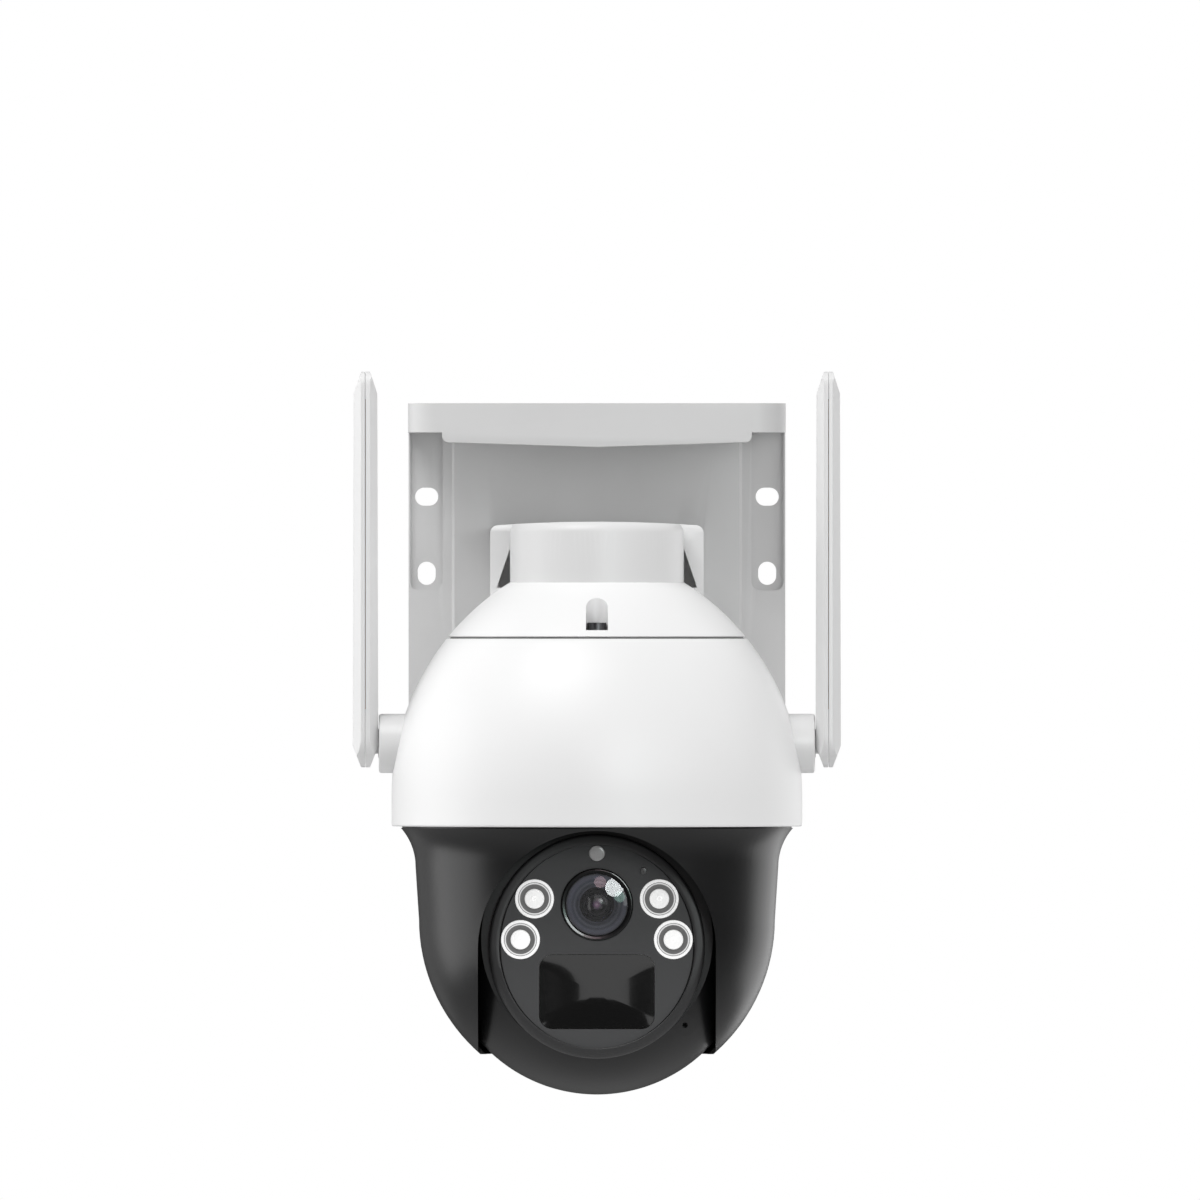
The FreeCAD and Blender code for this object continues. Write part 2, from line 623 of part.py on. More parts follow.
# ---------------------------------------------------------------- dome
def dome_shells():
    """Cap and skirt of the dome, the seal in their seam and the three screws that join them."""
    wall, seam, gap = s.dome_wall, s.seam_drop, s.seam_gap
    solid = dome_steps(s.dome_top, s.rim_drop)
    inner = spun("dome_inner", dome_steps(s.dome_top + wall, s.rim_drop + 1, wall))
    outer = spun("dome_outer", solid)
    above = rod(BEYOND, (-seam, 0), (0, -s.axis_forward))
    lip = spun("cap_lip", dome_steps(s.dome_top, s.rim_drop, wall + s.fit_gap))
    lip_inner = spun("cap_lip_inner", dome_steps(s.dome_top, s.rim_drop, wall * 2))
    lip_band = rod(BEYOND, (-seam - 3, -seam + 3), (0, -s.axis_forward))
    spots = ring_points(3, s.well_circle, -90)
    cups, wells, shafts = [], [], []
    for i, spot in enumerate(spots):
        for radius, floor, store in ((s.well_radius + wall * 0.7, seam, cups),
                                     (s.well_radius, s.well_floor, wells)):
            store.append(rod(radius, (-floor, -s.dome_top), spot))
            channel = block((0, 30), (-radius, radius), (-floor, -s.dome_top))
            place(channel, spot[0], spot[1], -floor)
            turned = FreeCAD.Rotation(V(0, 0, 1), -90 + 120 * i)
            channel.Placement.Rotation = turned
            spread = turned.multVec(V(0, -1, 0))
            place(channel, spot[0] + radius * spread.x, spot[1] + radius * spread.y, -floor)
            store.append(channel)
        shafts.append(rod(s.screw_clearance, (-seam - 1, -s.well_floor + 1), spot))
    cap = fuse(common(cut(outer, inner), above), common(cut(lip, lip_inner), lip_band),
               common(fuse(*cups), outer))
    drain = rod(s.cable_radius, (-s.dome_top - wall - 1, 1), (0, -s.axis_forward))
    neck_holes = [rod(s.screw_clearance, (-s.dome_top - wall - 1, 1), spot)
                  for spot in ring_points(3, s.neck_screw_circle, 90)]
    keep("dome_cap", cut(cap, drain, *wells, *shafts, *neck_holes))
    keep("cap_gasket", cut(common(spun("seal", dome_steps(s.dome_top, s.rim_drop, 0.7)),
                                  rod(BEYOND, (-seam - gap, -seam), (0, -s.axis_forward))),
                           spun("seal_in", dome_steps(s.dome_top, s.rim_drop, wall - 0.1))))
    keep("cap_screws", group([screw((-seam - 8, -s.well_floor + 2.2), spot, "z", True)
                              for spot in spots]))
    below = rod(BEYOND, (-s.rim_drop, -seam - gap), (0, -s.axis_forward))
    shell = common(cut(outer, inner), below)
    inside = spun("dome_core", dome_steps(s.dome_top, s.rim_drop, 0.4))
    posts, pilots = [], []
    for i, spot in enumerate(spots):
        posts.append(rod(3.6, (-seam - 11, -seam), spot))
        rib = block((0, 25), (-s.rib_half, s.rib_half), (-seam - 11, -seam - 4))
        place(rib, spot[0], spot[1], -seam - 11)
        rib.Placement.Rotation = FreeCAD.Rotation(V(0, 0, 1), -90 + 120 * i)
        posts.append(rib)
        pilots.append(rod(s.screw_pilot, (-seam - 10, -seam + 1), spot))
    for i, spot in enumerate(ring_points(4, s.chassis_screw_circle, 45)):
        posts.append(rod(s.screw_post, (-s.chassis_top, -s.board_drop + 2), spot))
        rib = block((0, 12), (-s.rib_half, s.rib_half), (-s.chassis_top, -s.board_drop + 2))
        rib.Placement.Rotation = FreeCAD.Rotation(V(0, 0, 1), 45 + 90 * i)
        place(rib, spot[0], spot[1], -s.chassis_top)
        posts.append(rib)
        pilots.append(rod(s.screw_pilot, (-s.chassis_top - 1, -s.board_drop), spot))
    inner_posts = cut(common(fuse(*posts), inside),
                      common(cut(rod(BEYOND, (-seam - 3.3, -seam + 3), (0, -s.axis_forward)),
                                 spun("lip_clear", dome_steps(s.dome_top, s.rim_drop,
                                                              wall * 2 + 0.2))),
                             rod(BEYOND, (-seam - 3.3, -seam + 3), (0, -s.axis_forward))))
    shell = fuse(shell, inner_posts)
    hinge_holes = [rod(s.socket_radius + 0.25, across(side, s.socket_inner - 2,
                                                      s.dome_radius + 2),
                       (-s.axis_forward, -s.hinge_drop), "x") for side in (-1, 1)]
    grille = [rod(s.grille_hole, (0, 30), (s.grille_pitch * i, s.grille_pitch * j - s.speaker_drop), "y")
              for i in range(-3, 4) for j in range(-3, 4) if i * i + j * j < 11]
    for hole in grille:
        bind(hole, "Placement.Base.y", s.speaker_back - s.axis_forward)
    keep("dome_shell", cut(shell, *pilots, *hinge_holes, *grille))


# ---------------------------------------------------------------- chassis and electronics
def axis_spot(x=0, forward=0):
    """Offsets of a point beside the pan axis, `forward` of it."""
    return (x, -s.axis_forward - forward)


def chassis():
    """Round chassis plate with the motor seat, board posts and speaker upright, and its screws."""
    top, low = -s.chassis_top, -s.chassis_top - s.chassis_thickness
    body = new_body("chassis")
    disc = circle(new_sketch(body, "XY"), s.chassis_radius)
    pad(body, disc, s.chassis_thickness)
    doc.recompute()
    hole = circle(new_sketch(body, "XY"), 1.7, s.chassis_screw_circle * math.sqrt(0.5),
                  s.chassis_screw_circle * math.sqrt(0.5))
    screw_holes = pocket(body, hole, s.chassis_thickness)
    around(body, screw_holes, 4)
    place(body, 0, -s.axis_forward, low)
    notches = [block((side * 43 if side > 0 else -70, 70 if side > 0 else -43),
                     (-s.axis_forward - 12, -s.axis_forward + 12), (low - 1, top + 1))
               for side in (-1, 1)]
    bore = rod(s.bush_radius, (low - 1, top + 1), axis_spot())
    reach = pan_centres()
    shaft = rod(3.5, (low - 1, top + 1), axis_spot(0, reach))
    posts = [rod(2.6, (top, -s.board_drop - s.board_thickness), spot)
             for spot in ring_points(4, s.board_post_circle, 45)]
    stands = [rod(2.6, (top, -s.pan_gear_top + 1.5), axis_spot(x, reach)) for x in (-14, 14)]
    upright = block((-16, 16), (s.speaker_back - 2 - s.axis_forward, s.speaker_back
                                - s.axis_forward),
                    (top, -s.speaker_drop + 4))
    window = rod(5, (s.speaker_back - 3 - s.axis_forward, s.speaker_back + 1 - s.axis_forward),
                 (0, -s.speaker_drop), "y")
    pilots = [rod(1.1, (top - 1, 0), spot) for spot in ring_points(4, s.board_post_circle, 45)]
    pilots += [rod(1.1, (top - 1, 0), axis_spot(x, reach)) for x in (-14, 14)]
    plate = fuse(cut(body, bore, shaft, *notches), *posts, *stands, cut(upright, window))
    keep("chassis_plate", cut(plate, *pilots))


def main_board():
    """Main circuit board with its heat sink, radio module, sockets and screws."""
    low = -s.board_drop - s.board_thickness
    top = -s.board_drop
    disc = rod(s.board_radius, (low, top), axis_spot())
    bay = block((-s.motor_radius - 5.5, s.motor_radius + 5.5),
                (-s.axis_forward - 60, -s.axis_forward - 17), (low - 1, top + 1))
    rear = block((-60, 60), (s.speaker_back - 3 - s.axis_forward, 0), (low - 1, top + 1))
    holes = [rod(1.3, (low - 1, top + 1), spot)
             for spot in ring_points(4, s.board_post_circle, 45)]
    loom_hole = rod(4, (low - 1, top + 1), axis_spot())
    shield = block((-30, -12), (-s.axis_forward - 4, -s.axis_forward + 10), (top, top + 2.6))
    sockets = [cut(block((x, x + 8), (-s.axis_forward + 20, -s.axis_forward + 26),
                         (top, top + 5)),
                   block((x + 1, x + 7), (-s.axis_forward + 21, -s.axis_forward + 25),
                         (top + 1.5, top + 6))) for x in (-20, -8, 4)]
    board = cut(disc, bay, rear, loom_hole, *holes)
    keep("main_board", fuse(board, shield, *sockets))
    base = block((8, 30), (-s.axis_forward - 9, -s.axis_forward + 13), (top, top + 2))
    fins = [block((8, 30), (-s.axis_forward - 9 + 3 * i, -s.axis_forward - 8 + 3 * i),
                  (top + 2, top + 9)) for i in range(8)]
    keep("heat_sink", fuse(base, *fins))
    ear = -s.pan_gear_top + 1.5
    keep("board_screws", group(
        [screw((low - 6, top + 1.8), spot, "z", True, 2.2, 1.1, 1.8)
         for spot in ring_points(4, s.board_post_circle, 45)]
        + [screw((ear - 5, ear + 1 + 1.8), axis_spot(x, pan_centres()), "z", True, 2.2, 1.1, 1.8)
           for x in (-14, 14)]))


def speaker():
    """Loudspeaker behind the grille: basket, dished cone front and magnet."""
    back = s.speaker_back - s.axis_forward
    at = (0, -s.speaker_drop)
    basket = rod(s.speaker_radius, (back, back + s.speaker_depth), at, "y")
    dish = cone(4, s.speaker_radius - 2, (back + 2, back + s.speaker_depth + 0.01), at, "y")
    magnet = rod(5, (back - 2, back), at, "y")
    keep("speaker", fuse(cut(basket, dish), magnet))


# ---------------------------------------------------------------- pan drive
def pan_centres():
    """Distance from the pan axis to its pinion, with 0.1 of backlash."""
    return s.pan_module * (s.pan_gear_teeth + s.pan_pinion_teeth) / 2 + 0.1


def motor(name, radius, face, length, at, axis, shaft_end, ears):
    """Small stepper: can, boss, shaft and a pair of drilled ears; face is its output side."""
    inward = 1 if float(length) > 0 else -1
    low, high = (face, face + length) if inward > 0 else (face + length, face)
    shaft = (shaft_end, face) if inward > 0 else (face, shaft_end)
    parts = [rod(radius, (low, high), at, axis), rod(1.0, shaft, at, axis)]
    drills = []
    plate = (face, face + 1) if inward > 0 else (face - 1, face)
    for across in (-1, 1):
        spot = (at[0] + ears[0] * across, at[1] + ears[1] * across)
        parts.append(rod(4.4, plate, spot, axis))
        drills.append(rod(1.3, (plate[0] - 1, plate[1] + 1), spot, axis))
    keep(name, cut(fuse(*parts), *drills))


def pan_drive():
    """Pan motor and pinion, and the gear, bush, hub and clip that carry the yoke."""
    reach = pan_centres()
    at = axis_spot(0, reach)
    seat = -s.pan_gear_top + 1.5
    gear_low = -s.pan_gear_top - s.gear_thickness
    motor("pan_motor", s.motor_radius, seat, s.motor_length, at, "z", gear_low, (14, 0))
    pinion = toothed(s.pan_module, s.pan_pinion_teeth, 90 + 180 / float(s.pan_pinion_teeth),
                     s.gear_thickness, at, "z", gear_low)
    keep("pan_pinion", cut(fuse(pinion, rod(3.2, (gear_low - 2, gear_low), at)),
                           rod(1.0, (gear_low - 3, seat + 1), at)))
    hub_top = -s.pan_gear_top + 3
    plate_top, plate_low = -s.chassis_top, -s.chassis_top - s.chassis_thickness
    keep("pan_bush", cut(
        fuse(rod(s.bush_radius, (plate_low, plate_top), axis_spot()),
             rod(s.bush_radius + 2.5, (plate_top, plate_top + 1), axis_spot())),
        rod(s.hub_radius + s.running_fit, (plate_low - 1, plate_top + 2), axis_spot())))
    gear = toothed(s.pan_module, s.pan_gear_teeth, -90, s.gear_thickness, axis_spot(), "z",
                   gear_low)
    windows = [rod(4.2, (gear_low - 1, -s.pan_gear_top + 1), spot)
               for spot in ring_points(6, 15, 0)]
    keep("pan_gear", cut(fuse(gear, rod(s.hub_radius + 3, (gear_low, -s.pan_gear_top + 1),
                                        axis_spot())),
                         rod(s.hub_radius, (gear_low - 1, -s.pan_gear_top + 2), axis_spot()),
                         *windows))
    flange_top = plate_low - s.plate_gap
    hub = fuse(rod(s.hub_flange, (-s.drum_top, flange_top), axis_spot()),
               rod(s.hub_radius, (flange_top, hub_top), axis_spot()))
    groove = cut(rod(s.hub_radius + 1, (-s.pan_gear_top + 1, -s.pan_gear_top + 2.02),
                     axis_spot()),
                 rod(s.hub_radius - 0.8, (-s.pan_gear_top, -s.pan_gear_top + 3), axis_spot()))
    holes = [rod(s.screw_pilot, (-s.drum_top - 1, flange_top + 1), spot)
             for spot in ring_points(4, 12, 45)]
    keep("pan_hub", cut(hub, rod(s.gear_bore, (-s.drum_top - 1, hub_top + 1), axis_spot()),
                        groove, *holes))
    clip = cut(rod(s.hub_radius + 2.2, (-s.pan_gear_top + 1.01, -s.pan_gear_top + 2.01),
                   axis_spot()),
               rod(s.hub_radius - 0.75, (-s.pan_gear_top, -s.pan_gear_top + 3), axis_spot()),
               block((-2.5, 2.5), (-s.axis_forward, -s.axis_forward + 12),
                     (-s.pan_gear_top, -s.pan_gear_top + 3)))
    keep("pan_clip", clip)
    loom = [rod(1.2, (-s.drum_top - s.drum_plate + 0.2, hub_top + 2), axis_spot(x, y))
            for x, y in ((-1.5, -0.9), (1.5, -0.9), (0, 1.7))]
    keep("wire_loom", group(loom))


# ---------------------------------------------------------------- aerials
def paddle(side, inset=0):
    """Flat aerial body: tapered front view, bevelled plan, rounded side view, all crossed."""
    inner, outer = s.aerial_inner + inset, s.aerial_inner + s.aerial_thickness - inset
    low, high = -s.aerial_bottom + inset, s.aerial_top - inset
    half = s.aerial_depth / 2 - inset
    middle = s.aerial_inner + s.aerial_thickness / 2
    flat = s.aerial_edge_flat / 2
    taper = s.aerial_taper
    front = slab("front", [(inner, low + taper), (middle - flat, low), (middle + flat, low),
                           (outer, low + taper), (outer - 0.3, high - taper),
                           (middle + flat, high), (middle - flat, high),
                           (inner + 0.3, high - taper)],
                 "XZ", (s.axis_forward - 12, s.axis_forward + 12))
    bevel = s.aerial_bevel_depth
    plan = slab("plan", [(inner, bevel - half), (middle - flat, -half), (middle + flat, -half),
                         (outer, bevel - half), (outer, half - bevel), (middle + flat, half),
                         (middle - flat, half), (inner, half - bevel)],
                "XY", (low - 1, high + 1), (0, -s.axis_forward, 0))
    r = half - 0.01
    view = slab("view", [(-half, low + r), left(r), (0, low), left(r), (half, low + r),
                         (half, high - 4), left(4), (half - 4, high), (4 - half, high), left(4),
                         (-half, high - 4)],
                "YZ", (inner - 1, outer + 1), (0, -s.axis_forward, 0))
    solid = common(front, plan, view)
    if side > 0:
        return solid
    mirror = doc.addObject("Part::Mirroring", "mirror")
    mirror.Source = solid
    mirror.Normal = V(1, 0, 0)
    return mirror


def across(side, low, high):
    """Limits along X between two distances from the middle, on one side."""
    return (low, high) if side > 0 else (-size(high), -size(low))


def aerials():
    """Both aerials: socket in the dome, hollow pivot, two half shells and the blade."""
    at = (-s.axis_forward, -s.hinge_drop)
    seam = s.aerial_inner + s.aerial_thickness / 2
    sockets = []
    for side, name in ((-1, "aerial_left"), (1, "aerial_right")):
        tall = ((-s.axis_forward - 30, -s.axis_forward + 30), (-80, 60))
        inner_half = block(across(side, 40, seam - s.aerial_seam / 2), *tall)
        outer_half = block(across(side, seam + s.aerial_seam / 2, 90), *tall)
        hollow = paddle(side, s.aerial_wall)
        pivot_hole = rod(s.socket_bore - 1.2, across(side, 40, seam - 1), at, "x")
        collar = cut(common(rod(6.5, across(side, s.aerial_inner, seam - s.aerial_seam / 2),
                                at, "x"), paddle(side)), pivot_hole)
        keep(name + "_inner_shell", fuse(cut(common(paddle(side), inner_half), hollow,
                                             pivot_hole), collar))
        keep(name + "_outer_shell", cut(common(paddle(side), outer_half), hollow))
        keep(name + "_blade", block(across(side, seam - 0.4, seam + 0.4),
                                    (-s.axis_forward - 4, -s.axis_forward + 4),
                                    (-s.hinge_drop + 10, s.aerial_top - 8)))
        socket = fuse(cone(*((8.85, 8.5) if side > 0 else (8.5, 8.85)),
                           across(side, s.socket_inner + 3, s.socket_outer), at, "x"),
                      rod(s.socket_radius + 1.5, across(side, s.socket_inner,
                                                        s.socket_inner + 3), at, "x"))
        sockets.append(cut(socket, rod(s.socket_bore, across(side, 40, 80), at, "x")))
        pin = s.socket_bore - s.running_fit
        shank = rod(pin, across(side, s.socket_inner - 0.3, s.aerial_inner), at, "x")
        head = rod(6.2, across(side, s.socket_inner - 1.8, s.socket_inner - 0.3), at, "x")
        spigot = rod(s.socket_bore - 1.2, across(side, s.aerial_inner - 0.5, seam - 1), at, "x")
        wire = rod(1.6, across(side, 40, 80), at, "x")
        keep(name + "_pivot", cut(fuse(shank, head, spigot), wire))
    keep("aerial_sockets", group(sockets))


# ---------------------------------------------------------------- yoke
def yoke_steps():
    """Half outline of the yoke: drum, shoulder, cove, taper and bowl."""
    bowl = s.yoke_bottom - s.yoke_centre
    low_radius = root(s.yoke_radius * s.yoke_radius - bowl * bowl)
    return [(0, -s.drum_top), (0, -s.yoke_bottom), (low_radius, -s.yoke_bottom),
            left(s.yoke_radius), (s.yoke_radius, -s.yoke_centre),
            (s.cove_low_radius, -s.cove_drop), right(s.cove_radius),
            (s.yoke_shoulder_radius, -s.yoke_shoulder), (s.drum_radius, -s.yoke_shoulder),
            (s.drum_radius, -s.drum_step), (s.drum_step_radius + 3, -s.drum_step),
            (s.drum_step_radius, -s.drum_top)]


def yoke_window(half, arch, near, far):
    """Arched opening cutter in front view, between two distances forward of the axis."""
    low = -s.yoke_bottom - 5
    return slab("window", [(-half, low), (half, low), (half, -arch), left(half), (0, half - arch),
                           left(half), (-half, -arch)], "XZ",
                (s.axis_forward + near, s.axis_forward + far))


def yoke():
    """Black yoke: drum under the dome, two cheeks round the ball, and a separate rear cover."""
    outer = spun("yoke_outer", yoke_steps())
    cavity = s.ball_radius + s.ball_gap
    bowl = ball(s.yoke_cavity, 0, -s.axis_forward, -s.yoke_centre)
    room = ball(cavity, 0, -s.axis_forward, -s.ball_drop)
    plate_low = -s.drum_top - s.drum_plate
    bowl_low = common(bowl, rod(BEYOND, (-s.yoke_bottom - 5, -s.slot_arch + 40), axis_spot()))
    room_floor = -s.yoke_shoulder + 2
    top_room = tube(s.drum_radius - s.drum_plate, s.ball_radius - 6,
                    (room_floor, -s.drum_step - s.drum_plate), axis_spot())
    front = yoke_window(s.slot_half, s.slot_arch, 0, 70)
    back = yoke_window(s.slot_half, s.slot_arch, -70, -22)
    lids = yoke_window(s.slot_half - s.cover_gap, s.slot_arch, -70, -22)
    at = (-s.axis_forward, -s.ball_drop)
    seats, bores = [], []
    for side in (-1, 1):
        seats.append(rod(s.axle_flange + 1.5, across(side, s.axle_seat - 0.4, 50), at, "x"))
        bores.append(rod(s.axle_flange + 0.1, across(side, 40, s.axle_seat), at, "x"))
        bores.append(rod(s.axle_radius, across(side, 40, s.axle_seat + 3), at, "x"))
    hub_holes = [rod(s.screw_clearance, (plate_low - 1, -s.drum_top + 1), spot)
                 for spot in ring_points(4, 12, 45)]
    hub_holes += [rod(2.8, (plate_low - 5, plate_low), spot)
                  for spot in ring_points(4, 12, 45)]
    loom_hole = rod(s.gear_bore, (plate_low - 1, -s.drum_top + 1), axis_spot())
    cover_spots = [axis_spot(x, s.cover_screw_forward) for x in (-6, 6)]
    lintel_holes = [rod(1.4, (room_floor - 10, room_floor + 1), spot) for spot in cover_spots]
    shell = cut(outer, bowl_low, room, top_room)
    body = fuse(cut(shell, front, back), *[common(seat, outer) for seat in seats])
    keep("yoke_shell", cut(body, loom_hole, *bores, *hub_holes, *lintel_holes))
    cover = common(cut(outer, bowl_low, room, top_room), lids)
    keep("yoke_back_cover", cut(cover, *[rod(1.2, (room_floor - 12, room_floor), spot)
                                         for spot in cover_spots]))
    hub_flange_top = -s.chassis_top - s.chassis_thickness - s.plate_gap
    keep("yoke_screws", group(
        [screw((room_floor - 10, room_floor + 1.4), spot, "z", True, 2.2, 1.2, 1.4)
         for spot in cover_spots]
        + [screw((plate_low - 1.2, hub_flange_top - 0.1), spot, "z", False, 2.6, 1.5, 1.2)
           for spot in ring_points(4, 12, 45)]))


# ---------------------------------------------------------------- ball
def forward_spot(x=0, rise=0):
    """Place (x, z) of a point on the ball's face, `rise` above the tilt axis."""
    return (x, rise - s.ball_drop)


def facing(near, far):
    """Limits along Y for two distances forward of the pan axis."""
    return (-s.axis_forward - far, -s.axis_forward - near)


def led_spots():
    """The four lamps: an upper pair beside the lens and a lower, wider pair."""
    return [forward_spot(-s.led_upper_x, s.led_upper_rise),
            forward_spot(s.led_upper_x, s.led_upper_rise),
            forward_spot(-s.led_lower_x, 0), forward_spot(s.led_lower_x, 0)]


def ball_box(half_x, half_y, near, far, turn):
    """Box whose length points from the ball's centre, straight down turned towards the rear."""
    box = doc.addObject("Part::Box", "patch")
    bind(box, "Length", half_x * 2)
    bind(box, "Width", half_y * 2)
    bind(box, "Height", size(far) - near)
    rotation = FreeCAD.Rotation(V(1, 0, 0), 180 + float(turn))
    corner = rotation.multVec(V(0, 1, 0)), rotation.multVec(V(0, 0, 1))
    box.Placement.Rotation = rotation
    out, along = corner[1], corner[0]
    place(box, -half_x,
          -s.axis_forward + size(near) * out.y - size(half_y) * along.y,
          -s.ball_drop + size(near) * out.z - size(half_y) * along.z)
    return box


def ball_rod(radius, near, far, turn, x=0):
    """Rod that points from the ball's centre, straight down turned towards the rear."""
    cylinder = doc.addObject("Part::Cylinder", "spoke")
    bind(cylinder, "Radius", radius)
    bind(cylinder, "Height", size(far) - near)
    rotation = FreeCAD.Rotation(V(1, 0, 0), 180 + float(turn))
    out = rotation.multVec(V(0, 0, 1))
    cylinder.Placement.Rotation = rotation
    return place(cylinder, x, -s.axis_forward + size(near) * out.y,
                 -s.ball_drop + size(near) * out.z)


def ball_shells():
    """Front and rear half shells of the ball with everything moulded into them."""
    middle = (0, -s.axis_forward, -s.ball_drop)
    skin = ball(s.ball_radius, *middle)
    core = ball(s.ball_radius - s.ball_wall, *middle)
    reach = s.ball_radius + 1
    face = s.face_forward
    cell = block((-reach, reach), facing(0.05, face), (-s.ball_drop - reach, reach - s.ball_drop))
    inner_cell = block((-reach, reach), facing(-1, face - 2.4),
                       (-s.ball_drop - reach, reach - s.ball_drop))
    rear_cell = block((-reach, reach), facing(-reach, -0.05),
                      (-s.ball_drop - reach, reach - s.ball_drop))
    at = (-s.axis_forward, -s.ball_drop)
    boss_in = s.ball_radius - 5.5
    bosses = common(fuse(*[rod(s.bush_outer + 2.5, across(k, boss_in, s.ball_radius), at, "x")
                           for k in (-1, 1)]), skin)
    bush_holes = [rod(s.bush_outer, across(k, 30, 50), at, "x") for k in (-1, 1)]
    opening = oval(s.bezel_inner_width - 2, s.bezel_inner_height - 2, (face - 4, face + 4),
                   0, -s.ball_drop - s.face_shift)
    lamp_holes = [rod(s.led_radius - 0.5, facing(face - 4, face + 4), spot, "y")
                  for spot in led_spots()]
    mic_spot = forward_spot(s.mic_x, -s.mic_drop)
    mic_end = s.mic_length + 17
    mic_boss = common(rod(s.mic_radius + 1.2, facing(17, 40), mic_spot, "y"), skin)
    mic_bore = rod(s.mic_radius + 0.05, facing(16, mic_end), mic_spot, "y")
    mic_hole = rod(s.mic_hole, facing(16, 45), mic_spot, "y")
    ties = [(x, z) for x in (-35, 35) for z in (22, -22)]
    tie_posts = common(fuse(*[rod(3.2, facing(-6, 6), forward_spot(x, z), "y")
                              for x, z in ties]), skin)
    tie_pilots = [rod(1.2, facing(0, 5.5), forward_spot(x, z), "y") for x, z in ties]
    tie_clear = [rod(s.screw_pilot, facing(-20, 0), forward_spot(x, z), "y") for x, z in ties]
    tie_sinks = [rod(2.5, facing(-50, -6), forward_spot(x, z), "y") for x, z in ties]
    led_posts = [rod(2.2, facing(s.led_board_forward + 1.2, face - 2.3),
                     forward_spot(x, z), "y") for x, z in ((-21, -22), (21, -22), (-20, 20),
                                                  (20, 20))]
    sensor_hole = rod(s.light_sensor_radius - 0.7, facing(face - 4, face + 4),
                      forward_spot(0, s.light_sensor_rise), "y")
    shell = fuse(common(cut(skin, common(core, inner_cell)), cell),
                 common(bosses, cell), common(mic_boss, cell), common(tie_posts, cell),
                 common(fuse(*led_posts), skin))
    keep("ball_front_shell", cut(shell, opening, sensor_hole, mic_bore, mic_hole, *lamp_holes, *bush_holes,
                                 *tie_pilots))
    turn, turn_button = s.door_angle, s.button_angle
    door_cell = ball_box(s.door_width / 2, s.door_length / 2, 38, 50, turn)
    frame = cut(common(ball_box(s.door_width / 2 + 1.2, s.door_length / 2 + 1.2, 38, 50, turn),
                       cut(ball(s.ball_radius - s.ball_wall + 0.2, *middle),
                           ball(s.ball_radius - s.ball_wall - 1.4, *middle))),
                ball_box(s.door_width / 2 - 3.6, s.door_length / 2 - 1.5, 36, 52, turn))
    button_hole = ball_rod(s.button_radius + 0.1, 38, 50, turn_button)
    arms = common(fuse(*[rod(2.5, (s.tilt_gear_inner - 1, s.ball_radius), spot, "x")
                         for spot in tilt_motor_ears()]), skin)
    rear = fuse(common(cut(skin, core), rear_cell), common(bosses, rear_cell), frame,
                common(tie_posts, rear_cell), arms)
    lid_screws = [ball_rod(0.8, 36, 50, turn, x) for x in (-9.7, 9.7)]
    shell_gap = cut(ball(s.ball_radius + 1, *middle),
                    ball(s.ball_radius - s.ball_wall + 0.001, *middle))
    door_opening = common(door_cell, shell_gap)
    keep("ball_rear_shell", cut(rear, door_opening, button_hole, *bush_holes, *tie_clear,
                                *tie_sinks, *lid_screws))
    lid = common(ball_box(s.door_width / 2 - s.fit_gap, s.door_length / 2 - s.fit_gap, 38, 50,
                          turn), cut(skin, ball(s.ball_radius - s.ball_wall + 0.02, *middle)))
    keep("card_door", cut(lid, *[ball_rod(0.9, 36, 50, turn, x) for x in (-9.7, 9.7)],
                          *[ball_rod(1.6, s.ball_radius - 2.0, 50, turn, x)
                            for x in (-9.7, 9.7)]))
    keep("ball_screws", group(
        [screw((-s.axis_forward - 5, -s.axis_forward + 7.6), forward_spot(x, z), "y", True,
               2.2, 1.2, 1.6) for x, z in ties]
        + [fuse(ball_rod(0.8, 40.5, s.ball_radius - 1.6, turn, x),
                ball_rod(s.screw_pilot, s.ball_radius - 2.0, s.ball_radius - 1.2, turn, x))
           for x in (-9.7, 9.7)]))


def reset_button():
    """Sprung reset button in the rear shell: cap, collar inside and stem."""
    turn = s.button_angle
    wall_inner = s.ball_radius - s.ball_wall
    keep("reset_button", fuse(
        ball_rod(s.button_radius, wall_inner - 3, s.ball_radius - 0.1, turn),
        ball_rod(s.button_radius + 1, wall_inner - 2.2, wall_inner - 1.2, turn)))


def card_socket():
    """Memory-card socket behind its door."""
    turn = s.door_angle
    keep("card_socket", cut(ball_box(7.5, 2.0, 26, 39, turn), ball_box(5.7, 0.6, 28, 40, turn)))


# ---------------------------------------------------------------- tilt drive
def tilt_centres():
    """Distance from the tilt axis to its pinion, with 0.1 of backlash."""
    return s.tilt_module * (s.tilt_gear_teeth + s.tilt_pinion_teeth) / 2 + 0.1


def tilt_pinion_at():
    """Place (y, z) of the tilt motor's shaft: behind and below the tilt axis."""
    step = tilt_centres() * round(math.sqrt(0.5), 9)
    return (-s.axis_forward + step, -s.ball_drop - step)


EAR_STEP = 9.9


def tilt_motor_ears():
    """Places (y, z) of the tilt motor's two ears, square to the line through both shafts."""
    y, z = tilt_pinion_at()
    return [(y + EAR_STEP * k, z + EAR_STEP * k) for k in (-1, 1)]


